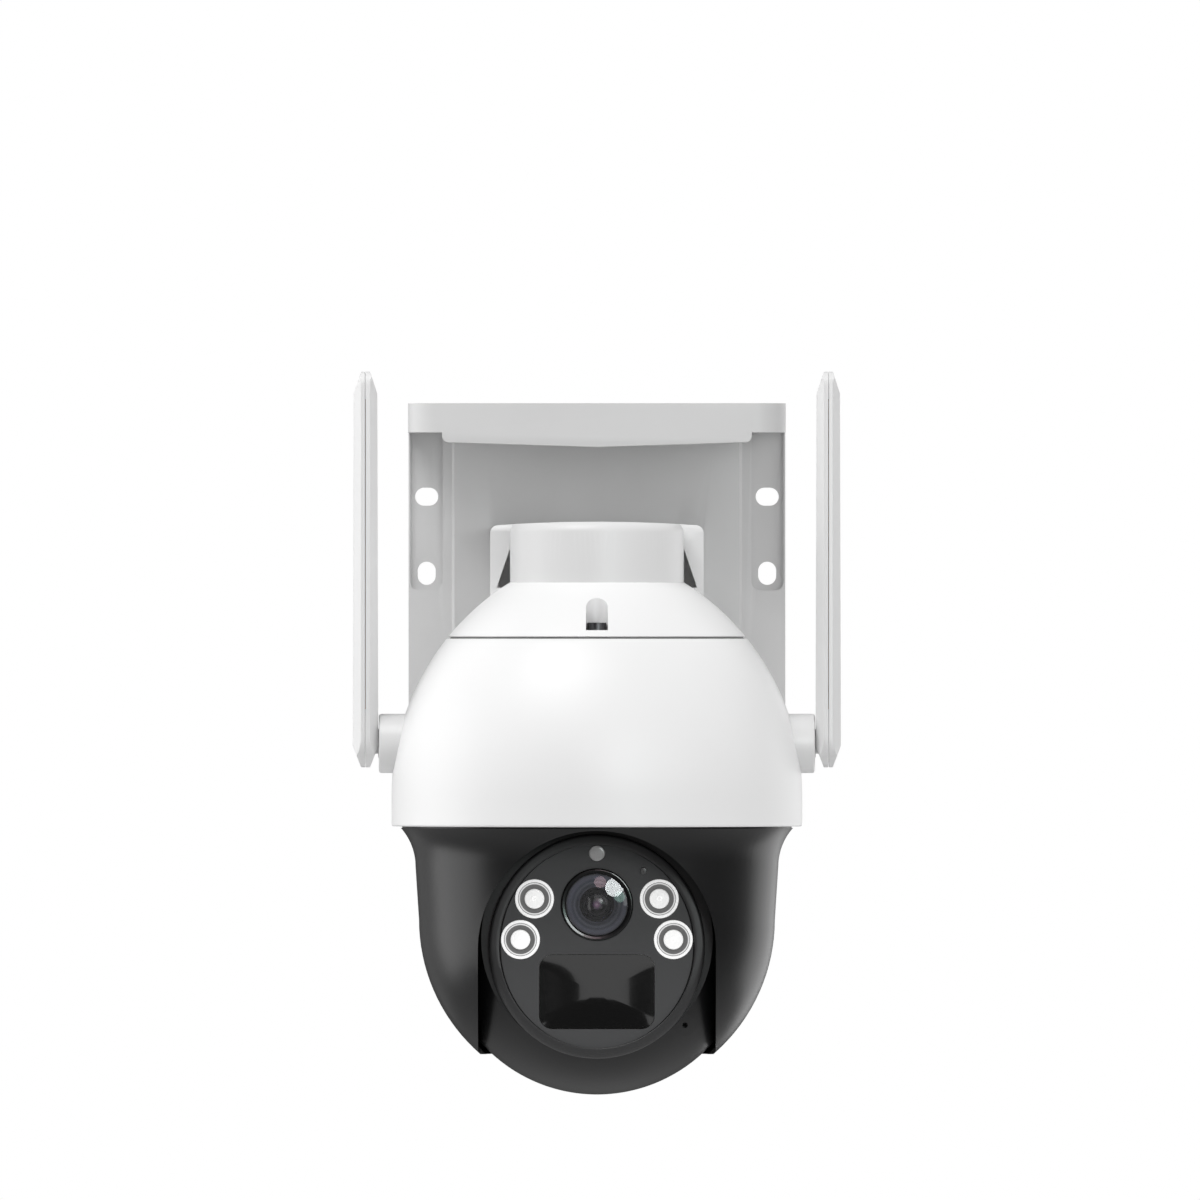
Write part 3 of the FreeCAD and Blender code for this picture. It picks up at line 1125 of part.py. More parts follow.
def tilt_drive():
    """Fixed axles and gear, the bushes they turn in, and the motor that rides in the ball."""
    at = (-s.axis_forward, -s.ball_drop)
    bush_in, bush_out = s.ball_radius - 5.0, s.ball_radius - 0.5
    gear_near = s.tilt_gear_inner
    gear_far = gear_near + s.gear_thickness
    axles, bushes = [], []
    for side in (-1, 1):
        inner = gear_near - 1 if side > 0 else bush_in - 1.5
        shaft = rod(s.axle_radius, across(side, inner, s.axle_seat + 2.9), at, "x")
        flange = rod(s.axle_flange, across(side, s.axle_seat - 1.2, s.axle_seat), at, "x")
        axles.append(cut(fuse(shaft, flange), rod(2.2, across(side, 20, 60), at, "x")))
        bushes.append(cut(rod(s.bush_outer, across(side, bush_in, bush_out), at, "x"),
                          rod(s.axle_radius + s.running_fit, across(side, 20, 60), at, "x")))
    keep("tilt_axles", group(axles))
    keep("tilt_bushes", group(bushes))
    teeth = toothed(s.tilt_module, s.tilt_gear_teeth, 0, s.gear_thickness, at, "x", gear_near)
    face_pinion(teeth, s.tilt_gear_teeth, False)
    hub = rod(s.axle_radius + 2.5, (gear_near, gear_far + 2), at, "x")
    keep("tilt_gear", cut(fuse(teeth, hub), rod(s.axle_radius, (20, 60), at, "x")))
    spot = tilt_pinion_at()
    pinion = toothed(s.tilt_module, s.tilt_pinion_teeth, 0, s.gear_thickness, spot, "x",
                     gear_near)
    face_pinion(pinion, s.tilt_pinion_teeth, True)
    keep("tilt_pinion", cut(pinion, rod(1.0, (20, 60), spot, "x")))
    seat = gear_near - 1
    motor("tilt_motor", s.motor_radius, seat, -s.motor_length, spot, "x", gear_far - 0.2,
          (EAR_STEP, EAR_STEP))


def face_pinion(disc, teeth, gap_faces):
    """Turn a toothed disc on the tilt axis so tooth and gap meet at the mesh point."""
    lay = FreeCAD.Rotation(V(0, 0, 1), V(0, -1, 0), V(1, 0, 0), "ZXY")
    towards_mesh = 45 + 180.0 / float(teeth) if gap_faces else -135
    disc.Placement.Rotation = FreeCAD.Rotation(V(1, 0, 0), towards_mesh) * lay


# ---------------------------------------------------------------- face and optics
def face_parts():
    """Bezel, face plate and seal of the ball's flat face."""
    face = s.face_forward
    z = -s.ball_drop - s.face_shift
    w, h, iw, ih = (s.bezel_half_width, s.bezel_half_height, s.bezel_inner_width,
                    s.bezel_inner_height)
    depth = s.bezel_depth
    steps = [(0.0, 0.6), (0.5, 1.3), (1.1, 1.9), (1.9, 2.4), (2.3, 2.7)]
    rings = []
    low = 0
    for inset, high in steps:
        rings.append(oval(w - inset, h - inset, (face + low, face + depth * (high / 2.7)), 0, z))
        low = depth * (high / 2.7)
    keep("bezel", cut(fuse(*rings), oval(iw, ih, (face - 1, face + 5), 0, z)))
    keep("face_gasket", cut(oval(iw - 0.3, ih - 0.3, (face, face + 0.6), 0, z),
                            oval(iw - 1.9, ih - 1.9, (face - 1, face + 1), 0, z),
                            *[rod(s.led_radius - 0.5, facing(face - 1, face + 2), spot, "y")
                              for spot in led_spots()],
                            rod(s.light_sensor_radius - 0.7, facing(face - 1, face + 2),
                                forward_spot(0, s.light_sensor_rise), "y")))
    lens_at = forward_spot(0, s.lens_rise)
    window = slab("window", rounded(s.pir_width + 0.3, s.pir_height + 0.3, s.pir_corner + 0.15,
                                    0, -s.ball_drop - s.pir_drop), "XZ",
                  (s.axis_forward + face - 2, s.axis_forward + face + 5))
    holes = [rod(s.lens_ring + 0.1, facing(face - 2, face + 5), lens_at, "y"), window]
    holes += [rod(s.led_radius + 0.1, facing(face - 2, face + 5), spot, "y")
              for spot in led_spots()]
    holes.append(rod(s.light_sensor_radius + 0.05, facing(face - 2, face + 5),
                     forward_spot(0, s.light_sensor_rise), "y"))
    holes.append(rod(s.status_radius + 0.05, facing(face - 2, face + 5),
                     forward_spot(s.status_x, s.status_rise), "y"))
    keep("face_plate", cut(oval(iw - 0.3, ih - 0.3, (face + 0.6, face + 2.0), 0, z), *holes))


def optics():
    """Lens, lamps, sensors and the boards that carry them."""
    face = s.face_forward
    x, z = forward_spot(0, s.lens_rise)
    ring, glass, inner = s.lens_ring, s.lens_glass, s.lens_inner
    front = face + 2.6
    back = front - s.lens_depth
    keep("lens_barrel", spun_forward("barrel", [
        (ring - 2.6, back), (ring - 2.6, front - 8), (ring, front - 7), (ring, front),
        (glass + 0.1, front), (glass + 0.1, front - 1.8), (glass - 1.2, front - 1.8),
        (inner + 0.1, front - 6), (inner + 0.1, front - 9.5), (inner - 1, front - 9.5),
        (inner - 1, back)], x, z))
    rise = s.lens_glass * s.lens_glass / (0.7 * 2) + 0.35
    keep("lens_front_glass", spun_forward("glass", [
        (0, front - 1.7), (glass, front - 1.7), (glass, front - 0.7), left(rise),
        (0, front)], x, z))
    bulge = s.lens_inner * s.lens_inner / (1.5 * 2) + 0.75
    keep("lens_inner_glass", spun_forward("inner_glass", [
        (0, front - 9.4), (inner, front - 9.4), (inner, front - 8), left(bulge),
        (0, front - 6.5)], x, z))
    at = forward_spot(0, s.lens_rise)
    board = s.camera_board_forward
    side = s.camera_board_side / 2
    holder = fuse(block((-10, 10), facing(board, board + 2.4),
                        (at[1] - 10, at[1] + 10)),
                  rod(ring - 1.0, facing(board + 2.4, back + 5), at, "y"))
    keep("lens_holder", cut(holder, rod(ring - 2.6, facing(back, back + 6), at, "y"),
                            block((-5, 5), facing(board - 1, back + 1), (at[1] - 5, at[1] + 5))))
    plate = block((-side, side), facing(board - 1.6, board), (at[1] - side, at[1] + side - 2))
    chip = block((-4, 4), facing(board, board + 1.2), (at[1] - 4, at[1] + 4))
    keep("camera_board", fuse(plate, chip))
    low = s.led_board_forward
    holes = [rod(ring + 0.2, facing(low - 1, low + 3), at, "y")]
    keep("led_board", cut(oval(s.bezel_inner_width - 1.5, s.bezel_inner_height - 1.5,
                               (low, low + 1.2), 0, -s.ball_drop - s.face_shift), *holes))
    cups, lids, chips = [], [], []
    for spot in led_spots():
        top = face + 2.3
        cup = fuse(rod(s.led_radius - 0.65, facing(low + 1.2, face + 0.7), spot, "y"),
                   rod(s.led_radius, facing(face + 0.6, top), spot, "y"))
        dish = cone(s.led_radius - 0.7, s.led_disc, facing(low + 1.0, top + 0.02), spot, "y")
        cups.append(cut(cup, dish))
        lids.append(rod(s.led_radius - 1.1, facing(top - 0.8, top - 0.2), spot, "y"))
        chips.append(fuse(rod(s.led_disc - 0.3, facing(low + 1.2, low + 1.8), spot, "y"),
                          rod(0.9, facing(low + 1.8, low + 2.2), spot, "y")))
    keep("lamp_cups", group(cups))
    keep("lamp_lenses", group(lids))
    keep("lamp_chips", group(chips))
    sensor = forward_spot(0, s.light_sensor_rise)
    keep("light_sensor", fuse(
        rod(s.light_sensor_radius - 0.8, facing(low + 1.2, face + 0.7), sensor, "y"),
        rod(s.light_sensor_radius, facing(face + 0.7, face + 2.1), sensor, "y")))
    keep("status_light", rod(s.status_radius, facing(low + 1.2, face + 2.1),
                             forward_spot(s.status_x, s.status_rise), "y"))
    pir_z = -s.ball_drop - s.pir_drop
    panel = slab("panel", rounded(s.pir_width, s.pir_height, s.pir_corner, 0, pir_z), "XZ",
                 (s.axis_forward + face + 0.6, s.axis_forward + face + 2.4))
    recess = slab("recess", rounded(s.pir_width - 3, s.pir_height - 3, s.pir_corner - 1.2, 0,
                                    pir_z), "XZ",
                  (s.axis_forward + face - 3, s.axis_forward + face + 1.4))
    keep("motion_window", cut(panel, recess))
    keep("motion_sensor", fuse(
        rod(4.1, facing(low + 1.2, low + 4.6), (0, pir_z), "y"),
        rod(4.7, facing(low + 1.2, low + 1.8), (0, pir_z), "y")))
    mic_spot = forward_spot(s.mic_x, -s.mic_drop)
    keep("microphone", rod(s.mic_radius, facing(17, 17 + s.mic_length), mic_spot, "y"))

# ---------------------------------------------------------------- build, check and write
def write_all():
    """Recompute, refuse any failed object or bad shape, then write one file per piece."""
    doc.recompute()
    failed = [o.Label for o in doc.Objects if {"Invalid", "Error"} & set(o.State)]
    if failed:
        raise RuntimeError("failed objects: %s" % failed)
    for piece in pieces:
        shape = piece.Shape
        if shape.isNull() or not shape.isValid() or shape.Volume <= 0:
            raise RuntimeError("bad shape: %s" % piece.Label)
    os.makedirs("parts", exist_ok=True)
    for piece in pieces:
        piece.Shape.exportStep(os.path.join("parts", piece.Label + ".step"))
        print("%-28s %9.1f mm3  solids %d" % (piece.Label, piece.Shape.Volume,
                                              len(piece.Shape.Solids)))


for build in (wall_bracket, bracket_arm, cable_grommet, dome_shells, chassis, main_board, speaker,
              pan_drive, aerials, yoke, ball_shells, reset_button, card_socket, tilt_drive,
              face_parts, optics):
    build()
write_all()
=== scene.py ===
# %% [markdown]
# # A pan-and-tilt security camera
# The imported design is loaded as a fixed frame: every solid, every joint and the record. All
# lengths here are metres, +Z is up and the camera reaches out towards -Y. We only add looks:
# finer surfaces over the plain solids, finishes for every piece, light, floor and a viewpoint.

# %% Load the frame
import json

import bmesh
import bpy
import numpy as np
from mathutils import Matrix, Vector


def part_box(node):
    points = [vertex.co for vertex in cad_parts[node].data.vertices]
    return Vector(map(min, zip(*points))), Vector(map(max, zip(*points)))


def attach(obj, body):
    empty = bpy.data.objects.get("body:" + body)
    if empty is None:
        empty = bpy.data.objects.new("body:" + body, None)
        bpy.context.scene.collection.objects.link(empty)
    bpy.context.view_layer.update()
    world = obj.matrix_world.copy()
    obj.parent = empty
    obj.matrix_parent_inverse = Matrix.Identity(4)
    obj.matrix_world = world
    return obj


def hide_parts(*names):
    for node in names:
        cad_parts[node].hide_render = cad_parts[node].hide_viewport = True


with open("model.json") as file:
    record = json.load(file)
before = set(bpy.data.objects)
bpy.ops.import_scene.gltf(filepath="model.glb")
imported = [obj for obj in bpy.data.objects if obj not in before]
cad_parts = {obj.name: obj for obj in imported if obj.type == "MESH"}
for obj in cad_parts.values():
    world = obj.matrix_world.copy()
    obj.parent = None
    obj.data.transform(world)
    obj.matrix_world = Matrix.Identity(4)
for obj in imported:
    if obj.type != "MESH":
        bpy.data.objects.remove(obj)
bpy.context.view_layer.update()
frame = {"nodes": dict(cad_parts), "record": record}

MM = 0.001

# %% [markdown]
# ## Surfaces from arrays
# A shape is a grid of points: one index runs along a profile, the other runs round or along a
# path. Numpy works the whole grid out at once, and one call hands it to the mesh.

# %% Grid to mesh
BODY_OF = {node: body for body, nodes in frame["record"]["behaviour"]["bodies"].items()
           for node in nodes}


def grid_mesh(name, points, close_u=False, close_v=True, cap_u=False):
    """Mesh of an (n, m, 3) grid. close_u and close_v join last row or column to the first;
    cap_u closes both end rows with one polygon each."""
    n, m, _ = points.shape
    rows = np.arange(n if close_u else n - 1)
    cols = np.arange(m if close_v else m - 1)
    i, j = np.meshgrid(rows, cols, indexing="ij")
    i2, j2 = (i + 1) % n, (j + 1) % m
    quads = np.stack([i * m + j, i2 * m + j, i2 * m + j2, i * m + j2], -1).reshape(-1, 4)
    faces = quads.tolist()
    if cap_u:
        faces += [list(range(m)), list(range(n * m - 1, (n - 1) * m - 1, -1))]
    mesh = bpy.data.meshes.new(name)
    mesh.from_pydata(points.reshape(-1, 3).tolist(), [], faces)
    mesh.update()
    return mesh


def outward(mesh):
    """Merge doubles and turn every face outwards."""
    bm = bmesh.new()
    bm.from_mesh(mesh)
    bmesh.ops.remove_doubles(bm, verts=bm.verts, dist=1e-7)
    bmesh.ops.dissolve_degenerate(bm, edges=bm.edges, dist=1e-8)
    bmesh.ops.recalc_face_normals(bm, faces=bm.faces)
    bm.to_mesh(mesh)
    bm.free()
    return mesh


def add_piece(name, mesh, node, material, crease=35.0, extra=()):
    """Put a finished mesh in the scene, riding with the solid it stands for and hiding it."""
    piece = bpy.data.objects.new(name, outward(mesh))
    bpy.context.scene.collection.objects.link(piece)
    mesh.materials.clear()
    mesh.materials.append(material)
    smooth_by_angle(mesh, crease)
    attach(piece, BODY_OF[node])
    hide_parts(node, *extra)
    return piece


def smooth_by_angle(mesh, degrees):
    """Smooth every face, and keep an edge sharp where its two faces differ by more."""
    mesh.polygons.foreach_set("use_smooth", np.ones(len(mesh.polygons), bool))
    mesh.set_sharp_from_angle(angle=np.radians(degrees))


# %% Profiles
def arc(centre, radius, start, stop, count=16):
    """Points on a circle: centre + radius * (cos a, sin a), a in degrees from start to stop."""
    a = np.radians(np.linspace(start, stop, count))
    return np.stack([centre[0] + radius * np.cos(a), centre[1] + radius * np.sin(a)], -1)


def turned(profile, centre, turns=192):
    """Surface of revolution about a vertical line: (r cos a, r sin a, h) round the centre."""
    a = np.linspace(0, 2 * np.pi, turns, endpoint=False)
    r, h = profile[:, :1], profile[:, 1:]
    x = centre[0] + r * np.cos(a)
    y = centre[1] + r * np.sin(a)
    z = np.broadcast_to(h, x.shape)
    return np.stack([x, y, z], -1)


def turned_forward(profile, centre, turns=96):
    """Surface of revolution about a line that points to -Y: (radius, distance forward)."""
    a = np.linspace(0, 2 * np.pi, turns, endpoint=False)
    r, h = profile[:, :1], profile[:, 1:]
    x = centre[0] + r * np.cos(a)
    z = centre[2] + r * np.sin(a)
    y = np.broadcast_to(centre[1] - h, x.shape)
    return np.stack([x, y, z], -1)


def turned_across(profile, centre, turns=96):
    """Surface of revolution about a line along X: (radius, x)."""
    a = np.linspace(0, 2 * np.pi, turns, endpoint=False)
    r, h = profile[:, :1], profile[:, 1:]
    y = centre[1] + r * np.cos(a)
    z = centre[2] + r * np.sin(a)
    x = np.broadcast_to(h, y.shape)
    return np.stack([x, y, z], -1)


print("helpers ready: grid, profile and turned surfaces")

# %% [markdown]
# ## Places and distances
# Every distance below is in millimetres from a line of the real object: the vertical line the
# camera pans about, and the flat face of the ball that looks forwards. The places of the pieces
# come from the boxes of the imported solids, so they move with the design; the outlines and small
# radii are the maker's own numbers. The upper pair of lamps also needs one, because a single box
# holds all four cups.


# %% Reference places
def span_of(node):
    """Lowest and highest corner of a solid, in millimetres."""
    low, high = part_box(node)
    return np.array(low) / MM, np.array(high) / MM


def middle_of(node):
    """Middle of a solid's box, in millimetres."""
    low, high = span_of(node)
    return (low + high) / 2


DOME_LOW, DOME_HIGH = span_of("dome_shell")
CAP_TOP = span_of("dome_cap")[1][2]
PAN = np.array([0.0, middle_of("dome_shell")[1], 0.0])
LENS = np.array([0.0, PAN[1], middle_of("lens_barrel")[2]])
PLATE_THICK = 2.0
SKIN = PAN[1] - span_of("face_plate")[0][1]
FACE = SKIN - PLATE_THICK
PLATE_Z = middle_of("face_plate")[2]
WINDOW_Z = middle_of("motion_window")[2]
SENSOR_Z = middle_of("light_sensor")[2]
STATUS_X, _, STATUS_Z = middle_of("status_light")
BOSS_Z = middle_of("aerial_sockets")[2]
CUP_RADIUS, UPPER_LAMP_X = 5.65, 18.2
cups_low, cups_high = span_of("lamp_cups")
lower_lamp = (cups_high[0] - CUP_RADIUS, cups_low[2] + CUP_RADIUS)
upper_lamp = (UPPER_LAMP_X, cups_high[2] - CUP_RADIUS)
LAMPS = [(side * x, z) for x, z in (upper_lamp, lower_lamp) for side in (1, -1)]
print("pan line at y", PAN[1].round(2), "lens at z", LENS[2].round(2), "face", FACE.round(2))

# %% [markdown]
# ## Finishes as sums
# A material is a graph of nodes, but it reads better as arithmetic. The class below holds one
# socket; adding or multiplying two of them adds the Math node that does it.


# %% Shader arithmetic
class Flow:
    """One value flowing through a material: a number, colour or vector socket."""

    def __init__(self, tree, socket):
        self.tree, self.socket = tree, socket

    def node(self, kind, settings=None, values=None, out=0):
        """Add any node: its settings first, then its sockets' values or links."""
        new = self.tree.nodes.new(kind)
        for name, value in (settings or {}).items():
            if name == "stops":
                ramp = new.color_ramp.elements
                while len(ramp) < len(value):
                    ramp.new(1.0)
                for stop, (place, colour) in zip(ramp, value):
                    stop.position, stop.color = place, colour
            else:
                setattr(new, name, value)
        for name, value in (values or {}).items():
            if isinstance(value, Flow):
                self.tree.links.new(value.socket, new.inputs[name])
            else:
                new.inputs[name].default_value = value
        return Flow(self.tree, new.outputs[out])

    def math(self, operation, first, second=0.0):
        return self.node("ShaderNodeMath", {"operation": operation}, {0: first, 1: second})

    def __add__(self, other):
        return self.math("ADD", self, other)

    def __sub__(self, other):
        return self.math("SUBTRACT", self, other)

    def __rsub__(self, other):
        return self.math("SUBTRACT", other, self)

    def __mul__(self, other):
        return self.math("MULTIPLY", self, other)

    def __truediv__(self, other):
        return self.math("DIVIDE", self, other)

    __radd__ = __add__
    __rmul__ = __mul__

    def noise(self, scale, detail=3.0, roughness=0.5):
        """Noise of this vector, 0 to 1."""
        return self.node("ShaderNodeTexNoise", None,
                         {"Vector": self, "Scale": scale, "Detail": detail,
                          "Roughness": roughness})

    def spread(self, low, high, to_low=0.0, to_high=1.0):
        """Map the span low to high onto another, clamped."""
        return self.node("ShaderNodeMapRange", None,
                         {"Value": self, "From Min": low, "From Max": high,
                          "To Min": to_low, "To Max": to_high})

    def between(self, colour_a, colour_b):
        """Mix two colours by this value."""
        return self.node("ShaderNodeMix", {"data_type": "RGBA"},
                         {"Factor": self, 6: colour_a, 7: colour_b}, out=2)


def finish_of(name, roughness, colour=None, **fixed):
    """New material; returns it, its shader node and the object-space position."""
    material = bpy.data.materials.new(name)
    material.use_nodes = True
    tree = material.node_tree
    shader = tree.nodes["Principled BSDF"]
    shader.inputs["Roughness"].default_value = roughness
    if colour:
        shader.inputs["Base Color"].default_value = (*colour, 1.0)
    for socket, value in fixed.items():
        shader.inputs[socket.replace("_", " ")].default_value = value
    place = Flow(tree, tree.nodes.new("ShaderNodeTexCoord").outputs["Object"])
    return material, shader, place


def feed(flow, shader, socket):
    """Link a flow into one of the shader's sockets."""
    flow.tree.links.new(flow.socket, shader.inputs[socket])


def bumped(height, shader, strength, distance):
    """Drive the shader's normal from a height in metres times distance."""
    bump = height.node("ShaderNodeBump", None,
                       {"Height": height, "Strength": strength, "Distance": distance})
    feed(bump, shader, "Normal")


print("shader arithmetic ready")

# %% [markdown]
# ## Plastics
# The dome, arm and bracket are moulded in one white resin with a very fine spark-eroded grain.
# The arm's copy is set greyer as painted shade from the hood above it. The bracket's copy is
# greyer again, partly its own greyer tone and partly painted shade under the hood.
# Grain is far too small to model, so it is a bump from noise about a third of a millimetre
# across, over a broad, faint change of tone, as thick mouldings have.


# %% Moulded plastic
def moulded(name, colour, roughness, grain=0.00035, depth=0.00002, tone=0.03, **fixed):
    """Satin plastic: colour drifts a little, fine grain in the normal, roughness follows it."""
    material, shader, place = finish_of(name, roughness, IOR=1.5, **fixed)
    drift = place.noise(18.0, 2.0)
    low = tuple(c * (1 - tone) for c in colour) + (1.0,)
    feed(drift.spread(0.3, 0.7).between(low, (*colour, 1.0)), shader, "Base Color")
    fine = place.noise(1.0 / grain, 2.0)
    feed(drift.spread(0.3, 0.7, roughness - 0.03, roughness + 0.03) + fine * 0.03, shader,
         "Roughness")
    bumped(fine, shader, 0.35, depth)
    return material


white_plastic = moulded("white_plastic", (0.87, 0.87, 0.87), 0.40)
# The arm is a darker copy of the white: painted shade from the hood.
arm_painted_shade_plastic = moulded("arm_painted_shade_plastic", (0.76, 0.76, 0.76), 0.40)
# The bracket is darker still: partly its own grey, partly painted shade under the hood.
bracket_grey_painted_shade_plastic = moulded("bracket_grey_painted_shade_plastic", (0.66, 0.66, 0.66), 0.42)
aerial_plastic = moulded("aerial_plastic", (0.77, 0.77, 0.77), 0.38)
black_plastic = moulded("black_plastic", (0.008, 0.008, 0.0085), 0.32, depth=0.000012, tone=0.2)
ball_plastic = moulded("ball_plastic", (0.006, 0.006, 0.0065), 0.30, depth=0.00001, tone=0.2)
plate_plastic = moulded("face_plate_plastic", (0.050, 0.050, 0.052), 0.50, depth=0.00002)
rim_plastic = moulded("bezel_plastic", (0.038, 0.038, 0.039), 0.42, depth=0.00001, tone=0.1)
acetal = moulded("acetal", (0.83, 0.81, 0.74), 0.4)
dark_acetal = moulded("dark_acetal", (0.05, 0.05, 0.052), 0.42)
rubber = moulded("rubber", (0.03, 0.03, 0.031), 0.62, grain=0.0006)
grey_seal = moulded("grey_seal", (0.22, 0.22, 0.22), 0.6, grain=0.0006)
print("plastics:", len(bpy.data.materials))

# %% [markdown]
# ## Metals, boards and glass
# Screws and motor cans are plated steel: bright, with streaks left by the wire or the press.
# The boards are green lacquer over copper. Lens glass carries a thin coating; its coloured
# reflection is painted on the inner glass.


# %% Metals and boards
def plated(name, colour, roughness, streak=900.0):
    """Plated metal: roughness runs in streaks and the tone drifts a little."""
    material, shader, place = finish_of(name, roughness, Metallic=1.0)
    streaks = place.node("ShaderNodeMapping", None,
                         {"Vector": place, "Scale": (streak, streak, streak * 0.1)})
    mark = streaks.noise(1.0, 2.0)
    feed(mark.spread(0.3, 0.7, roughness - 0.08, roughness + 0.1), shader, "Roughness")
    low = tuple(c * 0.85 for c in colour) + (1.0,)
    feed(place.noise(400.0, 2.0).between(low, (*colour, 1.0)), shader, "Base Color")
    return material


def lacquered(name, colour, copper):
    """Circuit board: lacquer with tracks of a lighter green from a brick pattern."""
    material, shader, place = finish_of(name, 0.3)
    tracks = place.node("ShaderNodeTexBrick", None,
                        {"Vector": place, "Scale": 260.0, "Mortar Size": 0.03,
                         "Color1": (*colour, 1), "Color2": (*colour, 1), "Mortar": (*copper, 1)})
    feed(tracks, shader, "Base Color")
    feed(place.noise(700.0).spread(0.3, 0.7, 0.25, 0.4), shader, "Roughness")
    return material


steel = plated("plated_steel", (0.62, 0.62, 0.60), 0.32)
dark_steel = plated("black_oxide_steel", (0.10, 0.10, 0.105), 0.38)
copper = plated("copper_blade", (0.75, 0.48, 0.30), 0.35)
alloy = plated("extruded_alloy", (0.66, 0.67, 0.69), 0.36)
green_board = lacquered("green_board", (0.02, 0.12, 0.05), (0.05, 0.22, 0.09))
white_board = lacquered("white_board", (0.72, 0.72, 0.70), (0.62, 0.62, 0.58))


# %% Glass and lamp finishes
def clear(name, tint, alpha, roughness=0.03):
    """Thin clear cover: mostly see-through, with a full gloss."""
    material, shader, place = finish_of(name, roughness, tint, IOR=2.0, Coat_Weight=1.0,
                                        Coat_IOR=1.8)
    dust = place.noise(900.0, 2.0)
    feed(dust.spread(0.4, 0.8, alpha, alpha + 0.03), shader, "Alpha")
    return material


def mirror_cup(name):
    """Metallised lamp cup: bright, finely orange-peeled."""
    material, shader, place = finish_of(name, 0.2, Metallic=0.9)
    peel = place.noise(1500.0, 2.0)
    feed(peel.between((0.55, 0.56, 0.58, 1), (0.75, 0.76, 0.78, 1)), shader, "Base Color")
    feed(peel.spread(0.3, 0.7, 0.25, 0.4), shader, "Roughness")
    return material


front_glass = clear("front_glass", (0.004, 0.004, 0.008), 0.26)
lamp_glass = clear("lamp_glass", (0.95, 0.97, 1.0), 0.12, 0.08)
cup_metal = mirror_cup("lamp_cup_metal")
window_gloss = moulded("motion_window_gloss", (0.003, 0.003, 0.003), 0.07, grain=0.002,
                       depth=0.000004, tone=0.1, Coat_Weight=1.0)
sensor_smoke = moulded("smoked_sensor", (0.55, 0.55, 0.55), 0.25, depth=0.000004,
                       Coat_Weight=0.6)
# Painted light: the lamp faces glow a little so that they stay bright in the shade under the
# dome.
lamp_white_painted_glow = moulded("lamp_chip_white_painted_glow", (0.93, 0.93, 0.92), 0.35, tone=0.01,
                     Emission_Color=(1.0, 1.0, 1.0, 1.0), Emission_Strength=0.4)
status_white = moulded("status_lamp", (0.12, 0.12, 0.12), 0.3)
barrel_black = moulded("lens_barrel_black", (0.004, 0.004, 0.004), 0.40, depth=0.000004)
print("glass and lamps ready:", len(bpy.data.materials))

# %% [markdown]
# ## Rings of finish
# Some pieces change finish with the distance from their own centre line: the lens tube has
# painted highlights on its steps over black, and a lamp cup has a white rim, a line of painted
# shade in its groove and a reflector painted grey as shade. The distance comes from Object
# coordinates, so the rings stay on the piece wherever it moves. The white of the cups also glows
# a little, painted light that keeps it bright down in its shaded recess.


# %% Ringed finishes
def ringed(name, centres, stops, span, roughness, coat=0.0, painted_glow=0.0):
    """Colour by distance from the nearest of several forward lines, through a ramp. A stop is
    a distance in mm with a grey, or with three numbers for a colour."""
    material, shader, place = finish_of(name, roughness, Coat_Weight=coat,
                                        Emission_Strength=painted_glow)
    nearest = None
    for x, z in centres:
        flat = place.node("ShaderNodeVectorMath", {"operation": "MULTIPLY"},
                          {0: place, 1: (1.0, 0.0, 1.0)})
        reach = flat.node("ShaderNodeVectorMath", {"operation": "DISTANCE"},
                          {0: flat, 1: (x * MM, 0.0, z * MM)}, out=1)
        nearest = reach if nearest is None else reach.math("MINIMUM", reach, nearest)
    grain = place.noise(2500.0, 2.0)
    along = nearest * (1.0 / (span * MM)) + (grain - 0.5) * 0.004
    ramp = along.node("ShaderNodeValToRGB", {"stops": [
        (stop[0] / span, (*(stop[1:] * 3)[:3], 1.0)) for stop in stops]}, {0: along})
    feed(ramp, shader, "Base Color")
    # Painted light: with painted_glow the ramp's colours also glow, standing in for light the
    # recess keeps off.
    if painted_glow:
        feed(ramp, shader, "Emission Color")
    feed(grain.spread(0.2, 0.8, roughness - 0.04, roughness + 0.04), shader, "Roughness")
    return material


LENS_LINE = [(LENS[0], LENS[2])]
# The bluish-grey rings from 5.2 to 8.6 mm are painted highlights on the black steps.
lens_rings_painted_highlights = ringed(
    "lens_tube_black_painted_highlights", LENS_LINE,
    [(0.0, 0.01), (4.9, 0.012), (5.2, 0.22, 0.23, 0.30), (5.9, 0.10, 0.11, 0.15),
     (6.5, 0.26, 0.29, 0.38), (7.1, 0.14, 0.16, 0.22), (7.8, 0.25, 0.27, 0.38),
     (8.6, 0.20, 0.21, 0.30), (9.0, 0.02), (9.2, 0.004), (10.5, 0.006)],
    span=12.0, roughness=0.22, coat=0.3)
# Painted reflection: the inner glass is pink-white in the middle as a painted glint, then purple
# rings fading to black for the coating's reflection.
coated_glass_painted_reflection = ringed(
    "coated_glass_painted_reflection", LENS_LINE,
    [(0.0, 0.95, 0.80, 0.92), (0.35, 0.70, 0.30, 0.66), (0.9, 0.22, 0.08, 0.24),
     (1.4, 0.05, 0.02, 0.06), (1.9, 0.006), (2.6, 0.004), (2.9, 0.04, 0.03, 0.05),
     (3.1, 0.006), (3.9, 0.03), (4.1, 0.005), (5.0, 0.03)],
    span=6.0, roughness=0.10, coat=0.4)
